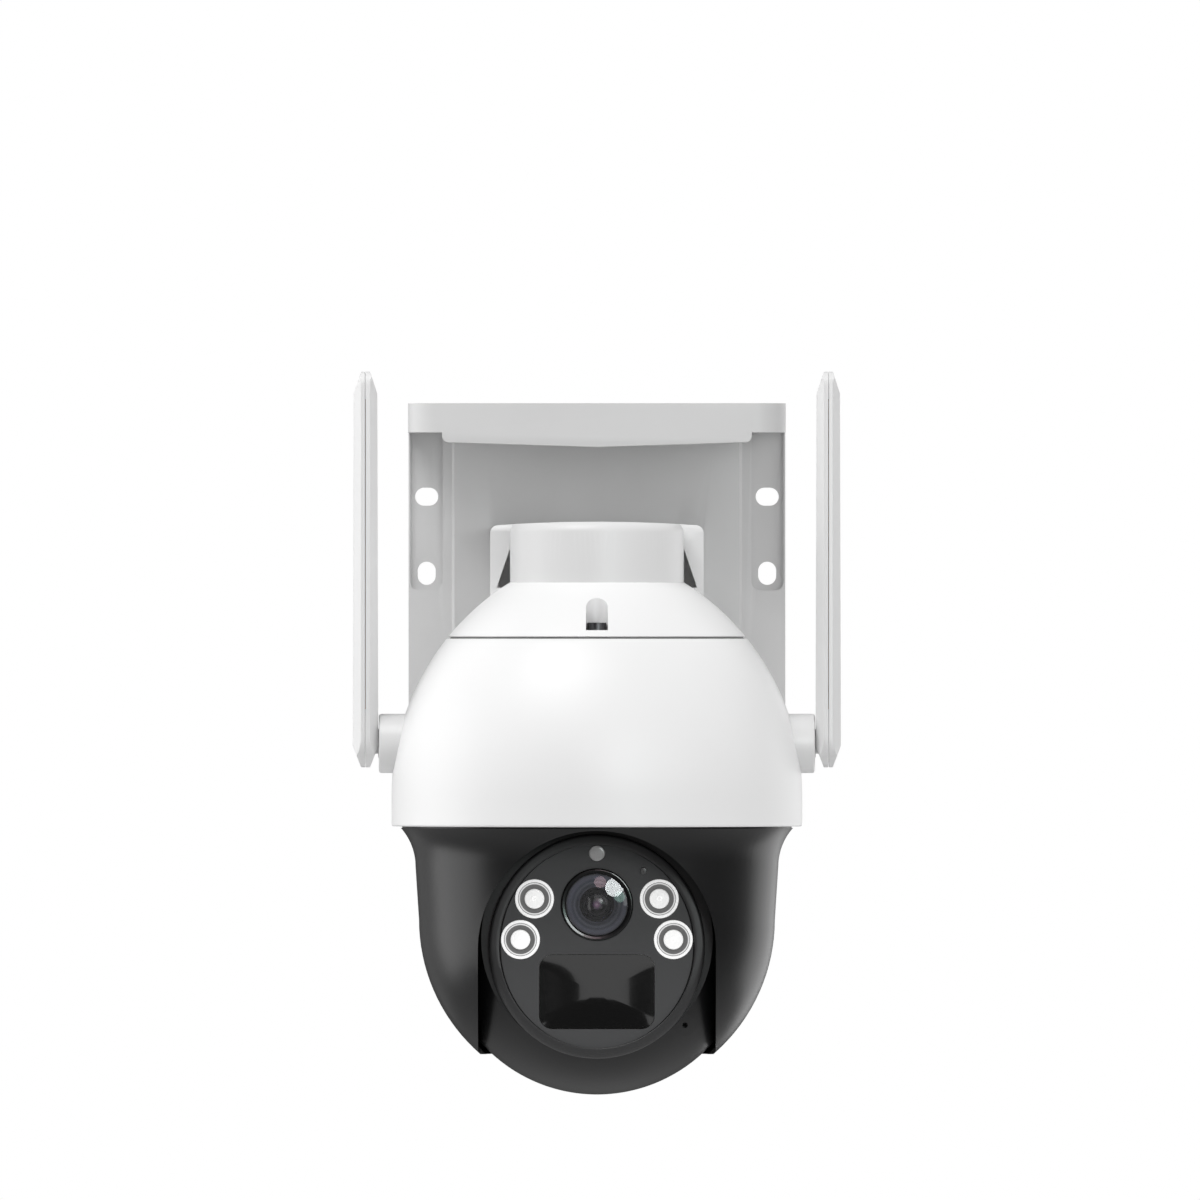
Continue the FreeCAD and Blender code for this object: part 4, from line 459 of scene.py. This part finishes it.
# Lamp cups: white rim, a line of painted shade from 4.65 to 4.8 mm, a reflector painted grey as
# shade, all glowing a little as painted light.
lamp_rings_painted_light = ringed(
    "lamp_cup_rings_painted_light", LAMPS,
    [(0.0, 0.7), (2.85, 0.7), (2.95, 0.10), (4.2, 0.12), (4.3, 0.75), (4.55, 0.75),
     (4.65, 0.25), (4.8, 0.25), (4.9, 0.94), (5.65, 0.95)],
    span=8.0, roughness=0.3, painted_glow=0.42)
print("all finishes:", len(bpy.data.materials))

# %% [markdown]
# ## Finishes on the plain solids
# Pieces that are hidden inside, or whose solid is already the right shape, keep their own mesh
# and only get a finish. Each list below is one finish and the solids that wear it.

# %% Finishes for the solids
WORN = [
    (bracket_grey_painted_shade_plastic, ["wall_bracket"]),
    (arm_painted_shade_plastic, ["bracket_arm"]),
    (white_plastic, ["dome_cap", "dome_shell"]),
    (aerial_plastic, ["aerial_sockets", "aerial_left_inner_shell", "aerial_left_outer_shell",
                      "aerial_right_inner_shell", "aerial_right_outer_shell",
                      "aerial_left_pivot", "aerial_right_pivot"]),
    (black_plastic, ["yoke_shell", "yoke_back_cover", "card_socket"]),
    (ball_plastic, ["ball_front_shell", "ball_rear_shell", "card_door"]),
    (plate_plastic, ["face_plate"]),
    (rim_plastic, ["bezel"]),
    (acetal, ["pan_gear", "pan_pinion", "tilt_gear", "tilt_pinion", "pan_bush", "tilt_bushes"]),
    # The microphone is set black as painted shade at the bottom of its hole.
    (dark_acetal, ["pan_hub", "tilt_axles", "chassis_plate", "lens_holder", "reset_button",
                   "microphone"]),
    (rubber, ["cable_grommet", "face_gasket", "wire_loom"]),
    (grey_seal, ["cap_gasket"]),
    (steel, ["case_screws", "board_screws", "pan_motor", "pan_clip",
             "tilt_motor"]),
    (dark_steel, ["yoke_screws", "ball_screws", "speaker", "cap_screws"]),
    (copper, ["aerial_left_blade", "aerial_right_blade"]),
    (alloy, ["heat_sink"]),
    (green_board, ["main_board", "camera_board"]),
    (white_board, ["led_board"]),
    (barrel_black, ["lens_barrel"]),
    (front_glass, ["lens_front_glass"]),
    (coated_glass_painted_reflection, ["lens_inner_glass"]),
    (cup_metal, ["lamp_cups"]),
    (lamp_glass, ["lamp_lenses"]),
    (lamp_white_painted_glow, ["lamp_chips"]),
    (sensor_smoke, ["light_sensor"]),
    (status_white, ["status_light"]),
    (window_gloss, ["motion_window"]),
    (cup_metal, ["motion_sensor"]),
]
for material, nodes in WORN:
    for node in nodes:
        frame["nodes"][node].material_slots[0].material = material
dressed = {node for _, nodes in WORN for node in nodes}
print("dressed", len(dressed), "solids; left over:", sorted(set(frame["nodes"]) - dressed))

# %% [markdown]
# ## Rounding the edges of a moulding
# No moulded edge is knife sharp, and the thin highlight along an edge is what makes a render
# look like an object. For the pieces whose solid is right except for that, a copy of the solid
# is welded, its flat areas are joined into single faces, and a Bevel modifier rounds each edge
# that turns by more than a given angle.


# %% Softened copies
def softened_copy(node, radius, material, turn=28.0, segments=3, flat=0.6, crease=35.0):
    """Copy of a solid with rounded edges: weld, join faces flatter than flat degrees, bevel."""
    mesh = frame["nodes"][node].data.copy()
    bm = bmesh.new()
    bm.from_mesh(mesh)
    bmesh.ops.remove_doubles(bm, verts=bm.verts, dist=2e-6)
    bmesh.ops.dissolve_degenerate(bm, edges=bm.edges, dist=1e-6)
    bmesh.ops.dissolve_limit(bm, angle_limit=np.radians(flat), verts=bm.verts, edges=bm.edges)
    bm.to_mesh(mesh)
    bm.free()
    mesh.name = node + "_skin"
    piece = bpy.data.objects.new(node + "_skin", mesh)
    bpy.context.scene.collection.objects.link(piece)
    mesh.materials.clear()
    mesh.materials.append(material)
    smooth_by_angle(mesh, crease)
    bevel = piece.modifiers.new("rounded edges", "BEVEL")
    bevel.width, bevel.segments = radius * MM, segments
    bevel.limit_method, bevel.angle_limit = "ANGLE", np.radians(turn)
    bevel.harden_normals = True
    bevel.use_clamp_overlap = True
    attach(piece, BODY_OF[node])
    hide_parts(node)
    return piece


for node, radius, material in [
        ("wall_bracket", 0.45, bracket_grey_painted_shade_plastic), ("bracket_arm", 0.4, arm_painted_shade_plastic),
        ("yoke_shell", 0.3, black_plastic), ("yoke_back_cover", 0.2, black_plastic),
        ("aerial_left_outer_shell", 0.35, aerial_plastic),
        ("aerial_left_inner_shell", 0.35, aerial_plastic),
        ("aerial_right_outer_shell", 0.35, aerial_plastic),
        ("aerial_right_inner_shell", 0.35, aerial_plastic)]:
    piece = softened_copy(node, radius, material)
    print(piece.name, len(piece.data.polygons), "faces before rounding")

# %% [markdown]
# ## Dome
# The white dome is two mouldings: a cap, and a skirt whose rim hangs over the black yoke. Both
# are turned shapes, so a short profile of true arcs carried round the pan line gives a surface
# with no flats. The thin wall is closed, so the rim and the seam show real thickness.


# %% Dome profile
def dome_side(inset, low, high, count=40):
    """Outer or inner side of the dome: an arc whose centre lies beyond the axis, then straight
    down. Distance from the axis is sqrt(R^2 - (z - z0)^2) + radius - R, R less by inset."""
    curve, radius, equator = 73.5, DOME_HIGH[0], -76.3
    z = np.linspace(low, high, count)
    rise = np.maximum(z - equator, 0.0)
    r = np.sqrt((curve - inset) ** 2 - rise ** 2) + radius - curve
    return np.stack([r, z], -1)


RIM, SEAM, GAP, WALL = DOME_LOW[2], DOME_HIGH[2], 0.5, 2.4
outer = dome_side(0.0, RIM + 0.9, SEAM - GAP - 0.25, 60)
inner = dome_side(WALL, RIM, SEAM - GAP, 30)[::-1]
skirt = np.concatenate([
    [[58.6, RIM]], arc((59.4, RIM + 0.6), 0.6, -90, 0, 6), outer,
    [[outer[-1, 0] - 0.45, SEAM - GAP]], inner])
skirt_mesh = grid_mesh("dome_skirt", turned(skirt, PAN, 256) * MM, close_u=True)
print("skirt profile:", len(skirt), "points")

# %% Cap before its wells are cut
AXIS = 0.02
cap_side = dome_side(0.0, SEAM + 0.25, CAP_TOP, 50)
crown = np.concatenate([
    [[AXIS, SEAM]], [[cap_side[0, 0] - 0.4, SEAM]], cap_side, [[AXIS, CAP_TOP]]])
cap_mesh = grid_mesh("dome_cap_skin", turned(crown, PAN, 256) * MM)
print("cap profile:", len(crown), "points")

# %% [markdown]
# ## Cutting wells and holes
# A well or a hole is another closed surface taken away from the first. Its outline is a short
# path, stretched along one direction. The Boolean result is baked into the mesh straight away,
# so the finished piece has plain geometry.


# %% Stretched outlines and cuts
def stretched(outline, start, stop):
    """Closed prism: the (n, 3) outline at start plus the same outline at stop, both capped."""
    outline = np.asarray(outline, float)
    rows = np.stack([outline + np.asarray(start), outline + np.asarray(stop)])
    return grid_mesh("prism", rows * MM, cap_u=True)


def joined(meshes):
    """One mesh of several."""
    bm = bmesh.new()
    for mesh in meshes:
        bm.from_mesh(mesh)
    whole = bpy.data.meshes.new("joined")
    bm.to_mesh(whole)
    bm.free()
    return whole


def carved(mesh, cutters):
    """The mesh minus the cutters, baked."""
    body = bpy.data.objects.new("body", outward(mesh))
    tool = bpy.data.objects.new("tool", outward(joined(cutters)))
    for obj in (body, tool):
        bpy.context.scene.collection.objects.link(obj)
    cut = body.modifiers.new("cut", "BOOLEAN")
    cut.object, cut.operation, cut.solver = tool, "DIFFERENCE", "EXACT"
    bpy.context.view_layer.update()
    result = bpy.data.meshes.new_from_object(
        body.evaluated_get(bpy.context.evaluated_depsgraph_get()))
    for obj in (body, tool):
        bpy.data.objects.remove(obj)
    return result


def well_outline(angle, radius=3.2, circle=35.1, reach=22.0):
    """Round-backed slot that runs out through the dome: half circle, then two straight sides."""
    half = arc((0, 0), radius, 90, 270, 17)
    shape = np.concatenate([half, [[reach, -radius], [reach, radius]]]) + (circle, 0)
    c, s = np.cos(np.radians(angle)), np.sin(np.radians(angle))
    x = PAN[0] + shape[:, 0] * c - shape[:, 1] * s
    y = PAN[1] + shape[:, 0] * s + shape[:, 1] * c
    return np.stack([x, y, np.zeros(len(x))], -1)


WELL_FLOOR, ABOVE_CAP = -27.9, -10.0
wells = [stretched(well_outline(a), (0, 0, WELL_FLOOR), (0, 0, ABOVE_CAP))
         for a in (-90, 30, 150)]
cap = add_piece("dome_cap_skin", carved(cap_mesh, wells), "dome_cap", white_plastic)


def hole_outline(x, z, radius, count=20):
    """Circle in the upright plane."""
    ring = arc((x, z), radius, 0, 360 - 360 / count, count)
    return np.stack([ring[:, 0], np.zeros(count), ring[:, 1]], -1)


PITCH, GRILLE_Z, GRILLE_HOLE = 3.4, -48.0, 0.9
grille = [stretched(hole_outline(PITCH * i, GRILLE_Z + PITCH * j, GRILLE_HOLE),
                    (0, -30, 0), (0, 0, 0))
          for i in range(-3, 4) for j in range(-3, 4) if i * i + j * j < 11]
skirt = add_piece("dome_skirt", carved(skirt_mesh, grille), "dome_shell", white_plastic)
print("cap", len(cap.data.polygons), "faces; skirt", len(skirt.data.polygons))

# %% [markdown]
# ## Aerial sockets
# Each aerial leans on a short round boss that grows out of the dome. A turned profile with a
# rounded outer edge replaces the plain cylinder; its inner end runs into the dome wall.

# %% Sockets
boss = np.array([[AXIS, 50.0], [8.65, 50.0], [8.65, 62.9], [8.5, 63.4], [8.05, 63.7],
                 [4.4, 63.7], [4.2, 63.4], [AXIS, 63.4]])
pair = [grid_mesh("boss", turned_across(boss * (1, side), (0.0, PAN[1], BOSS_Z), 96) * MM)
        for side in (-1, 1)]
sockets = add_piece("aerial_bosses", joined(pair), "aerial_sockets", aerial_plastic)
print("bosses:", len(sockets.data.polygons), "faces")

# %% [markdown]
# ## The ball's face
# The flat face is an oval plate in a bezel whose rim rolls over, tightly at the top and broadly
# below. Both outlines are ellipses, so the surface is the product of an outline and a short
# profile: as the profile goes up, the outline shrinks. Two profiles are mixed by the direction
# from the middle, so the broad roll fades into the tight one.


# %% Oval rings
def oval_ring(inset, forward, half_width, half_height, centre_z, turns=192):
    """Rings on an oval: point = ((W - inset) cos a, forward, (H - inset) sin a). Inset and
    forward are one number per profile point, or one per point and direction."""
    a = np.linspace(0, 2 * np.pi, turns, endpoint=False)
    x = (half_width - inset) * np.cos(a)
    z = centre_z + (half_height - inset) * np.sin(a)
    y = np.broadcast_to(PAN[1] - forward, x.shape)
    return np.stack([x, y, z], -1)


BEZEL_HALF, PLATE_HALF, ROUND = (31.5, 32.75), (28.3, 30.0), 192
tight = np.concatenate([arc((1.0, FACE + 1.6), 1.0, 180, 95, 12), [[2.0, FACE + 2.68]]])
sweep = np.radians(np.linspace(0, 64, len(tight)))
rolled = np.stack([4.2 * (1 - np.cos(sweep)), FACE + 0.08 + 2.62 * np.sin(sweep)], -1)
rim = np.array([[2.8, FACE + 2.7], [2.97, FACE + 2.62], [3.05, FACE + 2.4], [3.05, FACE],
                [0.0, FACE]])
down = np.clip(-2.0 * np.sin(np.linspace(0, 2 * np.pi, ROUND, endpoint=False)), 0, 1)
inset = np.concatenate([tight[:, :1] * (1 - down) + rolled[:, :1] * down,
                        rim[:, :1] + 0 * down])
forward = np.concatenate([tight[:, 1:] * (1 - down) + rolled[:, 1:] * down,
                          rim[:, 1:] + 0 * down])
bezel = add_piece("bezel_ring", grid_mesh("bezel_ring", oval_ring(
    inset, forward, *BEZEL_HALF, PLATE_Z) * MM, close_u=True), "bezel", rim_plastic)
print("bezel:", len(bezel.data.polygons), "faces")


# %% Outline of the motion window
def rounded_box(width, height, radius, centre_z, count=10):
    """Rounded rectangle in the upright plane, as four quarter circles."""
    corners = []
    for a, sx, sz in ((0, 1, 1), (90, -1, 1), (180, -1, -1), (270, 1, -1)):
        centre = (sx * (width / 2 - radius), centre_z + sz * (height / 2 - radius))
        corners.append(arc(centre, radius, a, a + 90, count))
    ring = np.concatenate(corners)
    return np.stack([ring[:, 0], np.zeros(len(ring)), ring[:, 1]], -1)


# %% Face plate with its openings
edge_inset = np.array([[28.25], [0.15], [0.15], [0.3], [28.25]])
edge_forward = FACE + np.array([[0.6], [0.6], [1.85], [2.0], [2.0]])
plate_points = oval_ring(edge_inset, edge_forward, *PLATE_HALF, PLATE_Z)
plate_points[[0, -1], :, 2] = PLATE_Z + (plate_points[[0, -1], :, 2] - PLATE_Z) * 0.02
plate_body = grid_mesh("plate", plate_points * MM, cap_u=True)
front, back = (0, PAN[1] - FACE - 6, 0), (0, PAN[1] - FACE + 2, 0)
openings = [stretched(hole_outline(x, z, r, 64), front, back) for x, z, r in
            [(0, LENS[2], 10.6), (0, SENSOR_Z, 2.35), (STATUS_X, STATUS_Z, 1.05)]
            + [(x, z, 5.75) for x, z in LAMPS]]
openings.append(stretched(rounded_box(33.7, 21.8, 3.95, WINDOW_Z), front, back))
plate = add_piece("face_plate_skin", carved(plate_body, openings), "face_plate", plate_plastic)
print("plate:", len(plate.data.polygons), "faces")

# %% [markdown]
# ## Lens
# A lens seen from the front is rings inside rings: a black barrel, a stepped cone whose steps
# carry painted highlights, coated glass deep inside, and one strongly curved front glass. Each is
# a turned profile. The coloured rings of the coatings are painted reflection, with a painted
# glint in the middle, so their tint changes from ring to ring on the inner glass.

# %% Barrel and front glass
front_edge = FACE + 2.6
barrel_profile = np.concatenate([
    [[7.9, front_edge - 23.5], [7.9, front_edge - 8.0], [10.5, front_edge - 7.0]],
    [[10.5, front_edge - 0.5]], arc((10.0, front_edge - 0.5), 0.5, 0, 90, 5),
    [[9.4, front_edge - 0.1], [9.0, front_edge - 0.7], [9.0, front_edge - 1.8]],
    [[7.9, front_edge - 1.8], [7.9, front_edge - 2.6], [7.2, front_edge - 2.6],
     [7.2, front_edge - 3.6], [6.5, front_edge - 3.6], [6.5, front_edge - 4.6],
     [5.8, front_edge - 4.6], [5.8, front_edge - 5.6], [5.1, front_edge - 6.0],
     [5.1, front_edge - 9.5], [4.0, front_edge - 9.5], [4.0, front_edge - 23.5]]])
barrel = add_piece("lens_tube", grid_mesh("lens_tube", turned_forward(
    barrel_profile, LENS, 128) * MM, close_u=True), "lens_barrel", lens_rings_painted_highlights, crease=20.0)


def dome_glass(edge, base, rise, radius, count=18):
    """Closed lens: flat back at base, then a cap of a sphere whose top is at edge. The sphere's
    radius is (r^2 + rise^2) / (2 rise)."""
    r = np.linspace(radius, AXIS, count)
    sphere = (radius ** 2 + rise ** 2) / (2 * rise)
    h = edge - sphere + np.sqrt(sphere ** 2 - r ** 2)
    return np.concatenate([[[AXIS, base], [radius, base]], np.stack([r, h], -1)])


glass_profile = dome_glass(front_edge, front_edge - 1.7, 1.0, 8.9)
glass = add_piece("front_glass_skin", grid_mesh("front_glass_skin", turned_forward(
    glass_profile, LENS, 128) * MM), "lens_front_glass", front_glass)
inner_profile = dome_glass(front_edge - 6.5, front_edge - 9.4, 1.5, 5.0)
inner_glass = add_piece("inner_glass_skin", grid_mesh("inner_glass_skin", turned_forward(
    inner_profile, LENS, 96) * MM), "lens_inner_glass", coated_glass_painted_reflection)
print("lens:", [p.name for p in (barrel, glass, inner_glass)])

# %% [markdown]
# ## Lamps
# Each infrared lamp sits in a white-rimmed cup: a bright ring, a thin line of painted shade, a
# reflector painted grey as shade and the pale lens of the lamp itself with its tiny chip. One
# profile is turned round each of the four lamp centres.

# %% Lamp cups
TOP = FACE + 2.3
cup_profile = np.concatenate([
    [[5.0, FACE - 3.3], [5.0, FACE + 0.6], [CUP_RADIUS, FACE + 0.6],
     [CUP_RADIUS, TOP - 0.15]],
    arc((CUP_RADIUS - 0.15, TOP - 0.15), 0.15, 0, 90, 4),
    [[4.92, TOP], [4.86, TOP - 0.25], [4.62, TOP - 0.25], [4.56, TOP - 0.12],
     [4.28, TOP - 0.12], [4.2, TOP - 0.5], [2.95, TOP - 1.6], [2.95, FACE - 3.3]]])
lid_profile = np.array([[AXIS, TOP - 1.8], [2.85, TOP - 1.8], [2.85, TOP - 0.4],
                        [2.65, TOP - 0.22], [0.75, TOP - 0.1], [0.7, TOP - 0.22],
                        [0.45, TOP - 0.22], [0.4, TOP - 0.1], [AXIS, TOP - 0.1]])
cups = joined([grid_mesh("cup", turned_forward(cup_profile, (x, PAN[1], z), 72) * MM,
                         close_u=True) for x, z in LAMPS])
lids = joined([grid_mesh("lid", turned_forward(lid_profile, (x, PAN[1], z), 48) * MM)
               for x, z in LAMPS])
cups = add_piece("lamp_cup_rings_painted_light", cups, "lamp_cups", lamp_rings_painted_light, crease=25.0)
lids = add_piece("lamp_faces", lids, "lamp_lenses", lamp_white_painted_glow, extra=("lamp_chips",))
print("lamps:", len(LAMPS))

# %% Sensor and status lamp
def stud(radius, base, edge, count=4):
    """Profile of a pin with a rounded end: base, side, quarter circle of edge, middle."""
    top = FACE + 2.1
    return np.concatenate([[[AXIS, base], [radius, base], [radius, top - edge]],
                           arc((radius - edge, top - edge), edge, 0, 90, count), [[AXIS, top]]])


sensor = add_piece("light_sensor_skin", grid_mesh("light_sensor_skin", turned_forward(
    stud(2.3, FACE - 1.0, 0.3), (0, PAN[1], SENSOR_Z), 64) * MM), "light_sensor", sensor_smoke)
status = add_piece("status_light_skin", grid_mesh("status_light_skin", turned_forward(
    stud(1.0, FACE - 4.3, 0.2), (STATUS_X, PAN[1], STATUS_Z), 32) * MM), "status_light",
    status_white)
print("studs:", sensor.name, status.name)

# %% [markdown]
# ## Motion window
# Under the lens is a glossy black window in front of the heat sensor. Its surface bulges, so it
# mirrors the room as broad curved patches. The bulge could be a piece of a sphere, but a smooth
# product of two parabolas meets the rounded rectangle's straight sides at one level.


# %% Bulged window
def bulged_window(width, height, radius, centre_z, back, edge, rise, rings=24):
    """Scaled copies of a rounded rectangle, from rim to centre. With u and v from -1 to 1
    across and up the window, its forward distance is edge + rise (1 - u^2)(1 - v^2)."""
    rim = rounded_box(width, height, radius, 0.0)
    t = np.linspace(1.0, 0.002, rings)[:, None]
    x = rim[None, :, 0] * t
    z = centre_z + rim[None, :, 2] * t
    u, v = 2 * x / width, 2 * (z - centre_z) / height
    y = PAN[1] - (edge + rise * (1 - u ** 2) * (1 - v ** 2))
    dome = np.stack([x, y, z], -1)
    skirt = rim + (0, PAN[1] - back, centre_z)
    shoulder = rim + (0, PAN[1] - (edge - 0.12), centre_z)
    closing = rim * 0.002 + (0, PAN[1] - back, centre_z)
    return np.concatenate([closing[None], skirt[None], shoulder[None], dome])


window = add_piece("motion_window_skin", grid_mesh("motion_window_skin", bulged_window(
    33.4, 21.5, 3.8, WINDOW_Z, FACE + 0.7, FACE + 1.9, 0.5) * MM), "motion_window",
    window_gloss)
print("window:", len(window.data.polygons), "faces")

# %% [markdown]
# ## Floor, light and viewpoint
# A product of this kind is lit like glassware: one large soft light high up at the front left,
# a weaker one from the right, and lights low at the sides that draw the bright lines down the
# black yoke. Two bounces reach only matt surfaces, so they lift the white plastic and leave the
# black one dark. Two small cards show in the glossy window, and three coloured patches show in
# the lens, as the panes of a studio window do. The floor is a pale disc well below, kept out of
# the mirror of the black ball.


# %% Floor
def floor_disc(radius, drop):
    """Flat disc: rings of points (r cos a, r sin a) at one height, closed at the centre."""
    rings = np.array([[0.0001, 0.0], [radius * 0.5, 0.0], [radius, 0.0]])
    points = turned(rings, (0.0, -0.1), 96)
    points[..., 2] -= drop
    mesh = outward(grid_mesh("floor", points))
    floor = bpy.data.objects.new("floor", mesh)
    bpy.context.scene.collection.objects.link(floor)
    material, shader, place = finish_of("floor_paper", 0.6)
    feed(place.noise(40.0).between((0.80, 0.80, 0.80, 1), (0.84, 0.84, 0.84, 1)), shader,
         "Base Color")
    mesh.materials.append(material)
    if mesh.polygons[0].normal.z < 0:
        mesh.flip_normals()
    floor.visible_glossy = False
    return floor


floor_disc(0.6, 0.50)
print("floor ready")


# %% Lights
def soft_light(name, place, target, size, power, colour=(1.0, 1.0, 1.0)):
    """Rectangular lamp at a place, turned to look at a target."""
    lamp = bpy.data.lights.new(name, "AREA")
    lamp.shape = "RECTANGLE"
    lamp.size, lamp.size_y = size
    lamp.energy, lamp.color = power, colour
    holder = bpy.data.objects.new(name, lamp)
    holder.location = place
    towards = Vector(target) - Vector(place)
    holder.rotation_euler = towards.to_track_quat("-Z", "Y").to_euler()
    bpy.context.scene.collection.objects.link(holder)
    return holder


heart = (0.0, PAN[1] * MM, -0.06)
beside_left, beside_right = (-0.05, heart[1], -0.1), (0.05, heart[1], -0.1)
face = (0.0, -0.108, -0.133)
soft_light("key", (-0.45, -0.75, 1.10), heart, (0.9, 0.7), 11.0)
soft_light("fill", (0.9, -1.3, 0.25), heart, (0.8, 0.8), 3.2)
soft_light("right_side", (0.60, 0.62, -0.15), beside_right, (0.75, 0.6), 1.8)
soft_light("left_side", (-0.90, 0.10, -0.05), beside_left, (0.8, 0.8), 3.4)
soft_light("left_back", (-0.60, 0.62, -0.12), beside_left, (0.6, 0.6), 0.27)
for name, side, power in [("right_bounce", 1, 4.5), ("left_bounce", -1, 2.0)]:
    bounce = soft_light(name, (side * 1.3, -0.45, 0.20), heart, (0.9, 0.9), power)
    bounce.visible_glossy = False
soft_light("window_card", (0.02, -1.50, -0.06), face, (0.17, 0.28), 0.10)
soft_light("window_sliver", (-0.16, -1.50, -0.10), face, (0.05, 0.26), 0.04)
for name, x, z, size, power, colour in [
        ("lens_white", 0.32, 0.20, 0.34, 3.6, (0.95, 1.0, 1.0)),
        ("lens_pink", 0.06, 0.30, 0.22, 0.35, (1.0, 0.72, 0.80)),
        ("lens_green", 0.42, 0.03, 0.20, 0.28, (0.6, 1.0, 0.85))]:
    patch = soft_light(name, (x, -1.30, z), (0.0, -0.108, -0.108), (size, size), power, colour)
    patch.data.shape = "ELLIPSE"
    patch.visible_diffuse = False

# %% [markdown]
# ## White room
# The surroundings light the piece softly, stronger from above than from the floor, but what the
# viewer sees behind it is pure white. Glossy surfaces see a darker room, as in a studio hung
# with black cloth, with a bright floor. Light Path nodes in the world tell the three apart.

# %% Surroundings
world = bpy.data.worlds.new("white_room")
world.use_nodes = True
bpy.context.scene.world = world
start = Flow(world.node_tree, world.node_tree.nodes.new("ShaderNodeTexCoord").outputs[0])
rays = start.node("ShaderNodeLightPath")
seen = Flow(world.node_tree, rays.socket.node.outputs["Is Camera Ray"])
mirrored = Flow(world.node_tree, rays.socket.node.outputs["Is Glossy Ray"])
height = start.node("ShaderNodeSeparateXYZ", None, {"Vector": start}, out=2)
soft = height.spread(-0.5, 0.6, 0.20, 0.54)
gloss = height.spread(-0.75, -0.15, 0.50, 0.07)
dimmed = soft * (1 - mirrored) + gloss * mirrored
level = dimmed * (1 - seen) + seen
backdrop = world.node_tree.nodes["Background"]
backdrop.inputs["Color"].default_value = (1.0, 1.0, 1.0, 1.0)
world.node_tree.links.new(level.socket, backdrop.inputs["Strength"])
bpy.context.scene.view_settings.view_transform = "Standard"

# %% Viewpoint
DISTANCE, FRAME_WIDTH, MID_DEPTH = 14.0, 0.351, 0.06
camera = bpy.data.cameras.new("viewpoint")
camera.sensor_width = 36.0
camera.lens = camera.sensor_width * (DISTANCE - MID_DEPTH) / FRAME_WIDTH
camera.clip_start, camera.clip_end = 1.0, 100.0
viewpoint = bpy.data.objects.new("viewpoint", camera)
viewpoint.location = (0.0009, -DISTANCE, -0.0191)
viewpoint.rotation_euler = (np.pi / 2, 0.0, 0.0)
bpy.context.scene.collection.objects.link(viewpoint)
bpy.context.scene.camera = viewpoint
print("lens", round(camera.lens), "mm at", DISTANCE, "m")

# %% Bring the scene up to date
bpy.context.view_layer.update()
